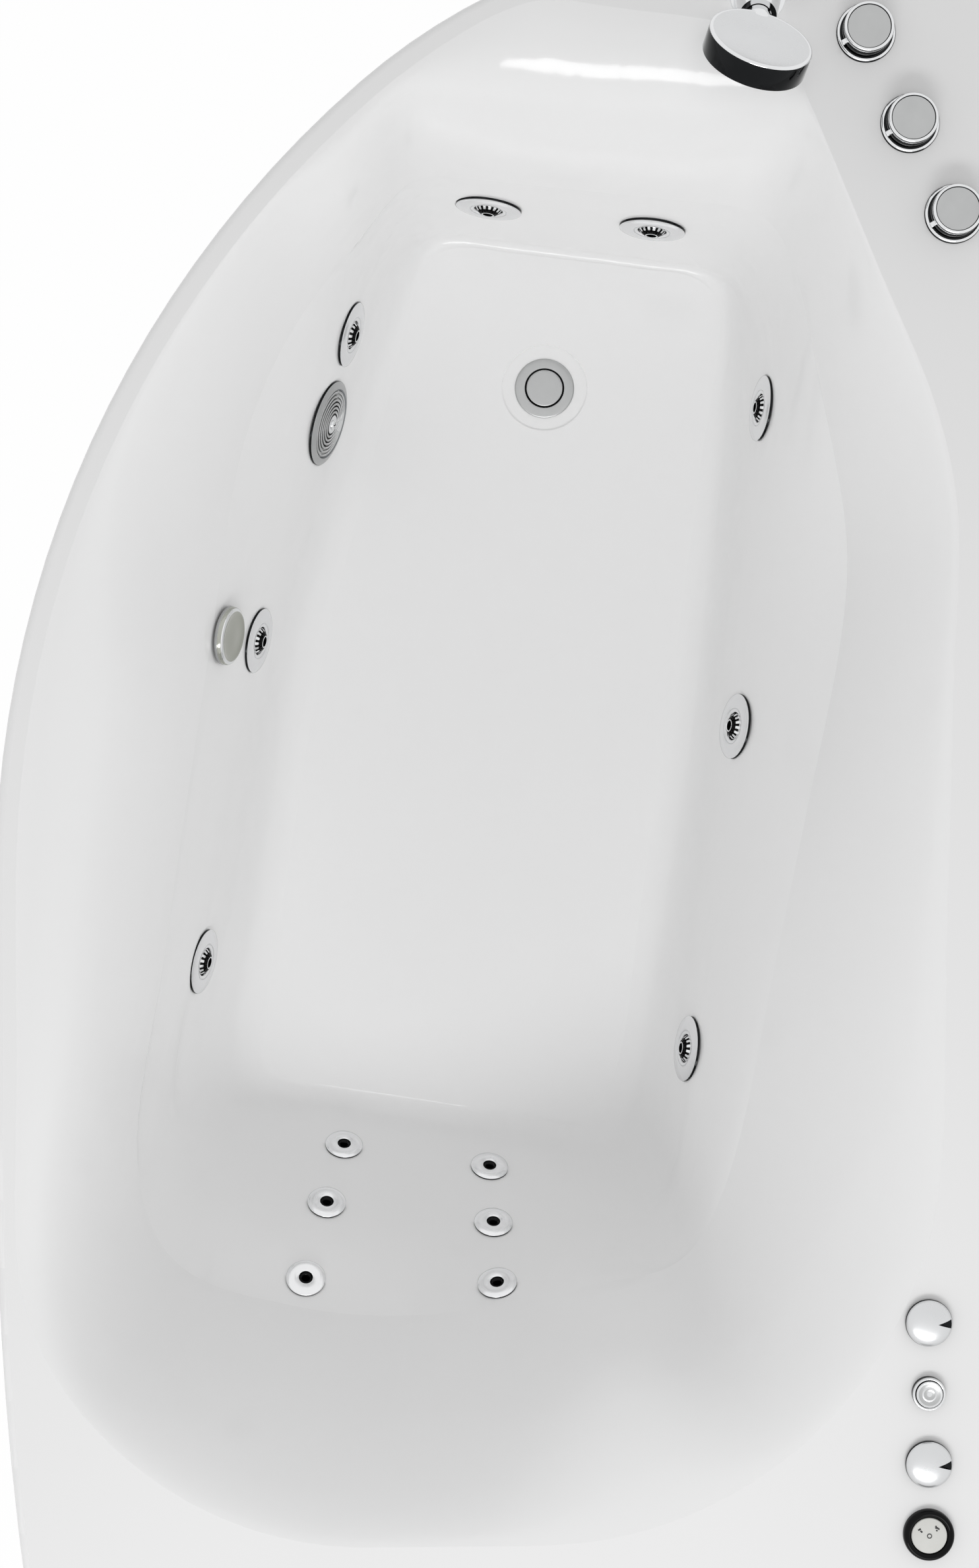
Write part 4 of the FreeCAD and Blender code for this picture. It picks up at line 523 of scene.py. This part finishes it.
# deck controls: two air knobs with a notch, a push button, and a round key panel
controls = {
    "airKnobs": [(414.0, -513.0, 600.0), (414.0, -651.0, 600.0)],
    "button": (414.0, -582.0, 600.0), "panel": (414.0, -720.0, 600.0),
    "notchTip": 7.5, "notchHalfWidth": 6.5, "notchEnd": 27.5,  # its end is past the knob's edge
    "notchHeight": 16, "notchMiddle": 15,
    "markBars": [(-9.7, 6.2, 3.0, 1.6, 30), (-7.9, 4.2, 2.4, 1.6, -40), (6.4, 8.4, 3.0, 1.6, 90),
                 (8.4, 7.2, 3.2, 1.6, -35), (7.2, 5.2, 1.8, 1.4, 0)],  # x, y, length, width, turn
    "markLevel": 6.5, "markHeight": 0.5, "markRounding": 0.2,
}
# the knob's foot and lower sides are painted dark: a painted dark reflection round its rim
knob = turnedPiece("airKnob", [
    (6.0, -22.0, "darkChrome"), (6.0, 2.0, "darkChrome"), (22.2, 2.0, "darkChrome"),
    (22.9, 2.5, "darkChrome"), (22.9, 4.6, "darkChrome"), (22.5, 5.6, "darkChrome"),
    (21.6, 7.0, "softChrome"), (20.2, 8.4, "softChrome"), (18.0, 9.9, "softChrome"),
    (15.0, 11.2, "softChrome"), (11.4, 12.1, "softChrome"), (6.8, 12.8, "softChrome"),
    (0, 13.0, "softChrome"),
])
bpy.ops.object.select_all(action="DESELECT")
bpy.ops.mesh.primitive_cylinder_add(vertices=3, radius=1, depth=controls["notchHeight"] * mm,
                                    location=(0, 0, controls["notchMiddle"] * mm))
notch = bpy.context.object
notch.name = "notchCutter"
tip, wide, end = controls["notchTip"], controls["notchHalfWidth"], controls["notchEnd"]
corners = [(tip, 0), (end, -wide), (end, wide)]
for vertex in notch.data.vertices:
    way = math.atan2(vertex.co.y, vertex.co.x)
    corner = corners[round(way / math.tau * 3) % 3]
    vertex.co.x, vertex.co.y = corner[0] * mm, corner[1] * mm
# the notch's cut faces are painted dark: painted shade in the notch
notch.data.materials.append(finishes["darkChrome"])
selectOnly(notch)
bpy.ops.object.mode_set(mode="EDIT")
bpy.ops.mesh.select_all(action="SELECT")
bpy.ops.mesh.normals_make_consistent(inside=False)
bpy.ops.object.mode_set(mode="OBJECT")
carve(knob, notch)
for number, at in enumerate(controls["airKnobs"], 1):
    settle(copyTo(knob, "airKnob%d" % number, placing(at)), "air_knob_%d" % number,
           "fitting_chrome", "air_knob_%d" % number)
bpy.data.objects.remove(knob)

# the housing's side and the floor of its recess are painted dark: painted reflection and painted
# shade round the button
setDown("buttonHousing", [
    (4.4, -45.0, "chrome"), (12.0, -45.0, "chrome"), (12.0, 0.05, "chrome"),
    (16.4, 0.05, "darkChrome"), (16.4, 5.4, "darkChrome"), (16.0, 6.5, "greyChrome"),
    (15.2, 7.0, "softChrome"), (14.2, 7.0, "softChrome"), (13.4, 6.4, "chrome"),
    (13.3, 1.0, "darkChrome"), (4.4, 1.0, "darkChrome"),
], placing(controls["button"]), "bath", "fitting_chrome", "button_housing", sides=64)
setDown("pushButton", [
    (4.0, -30.0, "satin"), (4.0, 5.0, "satin"), (12.9, 5.0, "satin"), (12.9, 7.6, "darkChrome"),
    (12.4, 8.2, "softChrome"), (10.8, 8.2, "softChrome"), (9.9, 7.7, "greyChrome"),
    (7.2, 7.3, "greyChrome"), (6.8, 7.55, "softChrome"), (5.6, 7.55, "softChrome"),
    (5.2, 7.2, "greyChrome"), (2.4, 7.0, "greyChrome"), (0, 7.0, "softChrome"),
], placing(controls["button"]), "push_button", "satin_metal", "push_button", sides=64)

setDown("panelBezel", [
    (18.4, -38.0, "glossBlack"), (18.4, 0.05, "glossBlack"), (24.9, 0.05, "glossBlack"),
    (24.9, 3.6, "glossBlack"), (24.5, 5.6, "glossBlack"), (23.4, 7.2, "glossBlack"),
    (22.0, 8.0, "glossBlack"), (20.6, 7.9, "glossBlack"), (19.2, 7.0, "glossBlack"),
    (18.3, 5.6, "glossBlack"), (17.8, 4.1, "glossBlack"), (0, 4.0, "glossBlack"),
], placing(controls["panel"]), "bath", "gloss_black", "control_bezel")
setDown("keyDisc", [
    (17.4, 4.05, "paleDisc"), (17.4, 5.4, "chrome"), (16.9, 6.0, "paleDisc"),
    (12.0, 6.35, "paleDisc"), (0, 6.6, "paleDisc"),
], placing(controls["panel"]), "bath", "pale_disc", "control_disc")
panelX, panelY, panelZ = controls["panel"]
for number, (x, y, length, width, turn) in enumerate(controls["markBars"], 1):
    mark = roundedBar("keyMark%d" % number, (length, width, controls["markHeight"]),
                      controls["markRounding"], 2, "blackPlastic")
    mark.matrix_world = placing((panelX + x, panelY + y, panelZ + controls["markLevel"]), turn=turn)
    settle(mark, "bath", "black_plastic")
setDown("keyRingMark", [
    (1.6, 6.5, "blackPlastic"), (1.6, 6.78, "blackPlastic"), (2.5, 6.78, "blackPlastic"),
    (2.5, 6.5, "blackPlastic"),
], placing(controls["panel"]), "bath", "black_plastic", sides=32)
print("deck controls made")

# taps: flange, turning knob with a flat grey disc, and a lever tab
taps = {"spots": [(439.0, 570.0, 600.0), (396.0, 658.5, 600.0), (353.0, 747.0, 600.0)],
        "leverTurn": 210, "lever": (9.0, 5.0, 4.0), "leverRounding": 1.4,
        "leverMiddle": (25.6, 0, 15.5)}  # its root is sunk into the knob
# the flange's rim and top and the knob's side are painted dark: painted reflection and painted
# shade that draw the taps' dark rings
tapFlange = turnedPiece("tapFlange", [
    (16.4, 0.05, "chrome"), (29.0, 0.05, "chrome"), (29.0, 1.8, "darkChrome"),
    (28.4, 2.8, "darkChrome"), (27.4, 3.6, "chrome"), (26.2, 4.0, "chrome"),
    (16.4, 4.0, "darkChrome"),
])
tapKnob = turnedPiece("tapKnob", [
    (5.0, -30.0, "satin"), (5.0, 4.6, "satin"), (22.6, 4.6, "darkChrome"),
    (24.0, 5.6, "darkChrome"), (24.5, 7.0, "darkChrome"), (24.5, 13.6, "darkChrome"),
    (24.2, 14.0, "darkChrome"), (24.2, 14.6, "darkChrome"), (24.5, 15.0, "chrome"),
    (24.5, 19.6, "chrome"), (24.2, 20.9, "darkChrome"), (23.4, 21.7, "chrome"),
    (22.4, 22.0, "chrome"), (21.6, 21.8, "chrome"), (21.3, 21.4, "darkChrome"),
    (20.7, 21.0, "darkChrome"), (20.2, 20.95, "greyChrome"), (12.0, 21.0, "greyChrome"),
    (0, 21.05, "greyChrome"),
])
lever = roundedBar("tapLever", taps["lever"], taps["leverRounding"], 4, "chrome",
                   taps["leverMiddle"])
for number, at in enumerate(taps["spots"], 1):
    settle(copyTo(tapFlange, "tapFlange%d" % number, placing(at)), "bath", "fitting_chrome",
           "tap_flanges")
    settle(copyTo(tapKnob, "tapKnob%d" % number, placing(at)), "tap_knob_%d" % number,
           "fitting_chrome", "tap_knob_%d" % number)
    settle(copyTo(lever, "tapLever%d" % number, placing(at, turn=taps["leverTurn"])),
           "tap_knob_%d" % number, "fitting_chrome")
for piece in (tapFlange, tapKnob, lever):
    bpy.data.objects.remove(piece)
print("taps made")

# hand shower: a thick flat head whose band is painted dark as a painted reflection, on a handle
# that stands in its holder
shower = {"middle": (237.41, 704.93, 680.02), "back": (0.2376, 0.6528, 0.7193),
          "handleWay": (0.0888, 0.7229, -0.6854),
          "sprayRings": [(8, 6), (17, 12), (26, 18), (35, 24)]}  # radius, and nubs in the ring
setDown("showerHead", [
    (44.5, -9.5, "darkChrome"), (44.5, -12.5, "chrome"), (49.0, -12.5, "chrome"),
    (50.1, -12.0, "chrome"), (50.5, -10.9, "darkChrome"), (50.5, 10.4, "darkChrome"),
    (50.3, 11.5, "chrome"), (49.6, 12.3, "chrome"), (48.6, 12.5, "chrome"), (47.4, 12.3, "chrome"),
    (46.8, 12.1, "softChrome"), (30.0, 12.35, "softChrome"), (0, 12.5, "softChrome"),
], placing(shower["middle"], shower["back"]), "handset", "fitting_chrome", "shower_handset",
    sides=128)
setDown("showerHandle", [
    (10.5, 40.0, "chrome"), (13.4, 44.0, "chrome"), (14.2, 50.0, "chrome"), (13.2, 57.0, "chrome"),
    (12.5, 64.0, "chrome"), (12.3, 90.0, "chrome"), (12.5, 109.0, "chrome"),
    (11.6, 111.5, "chrome"), (0, 112.0, "chrome"),
], placing(shower["middle"], shower["handleWay"]), "handset", "fitting_chrome", "shower_handset",
    sides=64)
setDown("sprayPlate", [
    (44.0, -9.7, "greyPlastic"), (44.0, -12.9, "greyPlastic"), (43.2, -13.6, "greyPlastic"),
    (41.0, -13.9, "greyPlastic"), (0, -13.9, "greyPlastic"),
], placing(shower["middle"], shower["back"]), "handset", "grey_plastic", "spray_face")
nub = turnedPiece("sprayNub", [
    (0.9, -13.5, "blackPlastic"), (0.9, -14.6, "blackPlastic"), (0.6, -14.9, "blackPlastic"),
    (0, -14.9, "blackPlastic"),
], sides=10)
nubs = []
for radius, count in shower["sprayRings"]:
    for index in range(count):
        way = math.tau * index / count
        spot = Matrix.Translation((radius * mm * math.cos(way), radius * mm * math.sin(way), 0))
        nubs.append(copyTo(nub, "sprayNubs", placing(shower["middle"], shower["back"]) @ spot))
bpy.data.objects.remove(nub)
bpy.ops.object.select_all(action="DESELECT")
for piece in nubs:
    piece.select_set(True)
bpy.context.view_layer.objects.active = nubs[0]
bpy.ops.object.join()
settle(bpy.context.object, "handset", "black_plastic")
print("hand shower made")


# 1 for rays that the camera sees, straight, mirrored or through glass; 0 for those that only light
def seenRays(tree):
    rays = addNode(tree, "ShaderNodeLightPath").outputs
    mirrored = addNode(tree, "ShaderNodeMath", {"operation": "MAXIMUM"}, {
        0: rays["Is Camera Ray"], 1: rays["Is Glossy Ray"]})
    return addNode(tree, "ShaderNodeMath", {"operation": "MAXIMUM"}, {
        0: mirrored.outputs[0], 1: rays["Is Transmission Ray"]}).outputs[0]


# plain pale floor: white to the camera, and it keeps a little of the bath's shadow
floor = {"size": 30, "keptShadow": 0.02, "colour": "#fafafa", "roughness": 0.9}
bpy.ops.object.select_all(action="DESELECT")
bpy.ops.mesh.primitive_plane_add(size=floor["size"], location=(0, 0, 0))
floorPiece = bpy.context.object
floorPiece.name = "studioFloor"
floorMaterial = bpy.data.materials.new("studioPaper")
floorMaterial.use_nodes = True
tree = floorMaterial.node_tree
paper = tree.nodes["Principled BSDF"]
paper.inputs["Base Color"].default_value = linear(floor["colour"])
paper.inputs["Roughness"].default_value = floor["roughness"]
share = addNode(tree, "ShaderNodeMath", {"operation": "MULTIPLY"}, {
    0: seenRays(tree), 1: 1 - floor["keptShadow"]})
glow = addNode(tree, "ShaderNodeEmission", None, {"Color": linear("#ffffff"), "Strength": 1.0})
mixed = addNode(tree, "ShaderNodeMixShader", None, {
    0: share.outputs[0], 1: paper.outputs[0], 2: glow.outputs[0]})
tree.links.new(mixed.outputs[0], tree.nodes["Material Output"].inputs["Surface"])
floorPiece.data.materials.append(floorMaterial)

# soft studio light: a white cyclorama round the horizon, an even sky, a broad key from the head end
light = {"sky": 0.34, "horizon": 0.62, "horizonTop": 0.80, "target": (0, 0, 0.3),
         "key": 35, "keyPlace": (0.0, -2.6, 3.0), "keyWidth": 2.8, "keyHeight": 0.9,
         "fill": 17, "fillPlace": (0.05, -0.05, 4.0), "fillSize": 1.6}
world = bpy.data.worlds.new("studioSky")
bpy.context.scene.world = world
world.use_nodes = True
tree = world.node_tree
sky = tree.nodes["Background"]
sky.inputs["Color"].default_value = linear("#ffffff")
way = addNode(tree, "ShaderNodeTexCoord").outputs["Generated"]
height = addNode(tree, "ShaderNodeSeparateXYZ", None, {"Vector": way}).outputs["Z"]
strength = addNode(tree, "ShaderNodeMapRange", {"interpolation_type": "SMOOTHSTEP"}, {
    "Value": height, "From Min": 0.0, "From Max": light["horizonTop"],
    "To Min": light["sky"] + light["horizon"], "To Max": light["sky"]}).outputs["Result"]
shown = addNode(tree, "ShaderNodeMix", {"data_type": "FLOAT"}, {
    0: seenRays(tree), 2: strength, 3: 1.0})
tree.links.new(shown.outputs[0], sky.inputs["Strength"])


def addLamp(name, power, width, height, place):
    lampData = bpy.data.lights.new(name, "AREA")
    lampData.shape = "ELLIPSE"
    lampData.size = width
    lampData.size_y = height
    lampData.energy = power
    lamp = bpy.data.objects.new(name, lampData)
    lamp.location = place
    way = Vector(light["target"]) - Vector(place)
    lamp.rotation_euler = way.to_track_quat("-Z", "Y").to_euler()
    bpy.context.scene.collection.objects.link(lamp)
    return lamp


addLamp("keyLamp", light["key"], light["keyWidth"], light["keyHeight"], light["keyPlace"])
fillLamp = addLamp("fillLamp", light["fill"], light["fillSize"], light["fillSize"],
                   light["fillPlace"])
fillLamp.visible_glossy = False  # the polished fittings don't mirror it
print("studio lit")
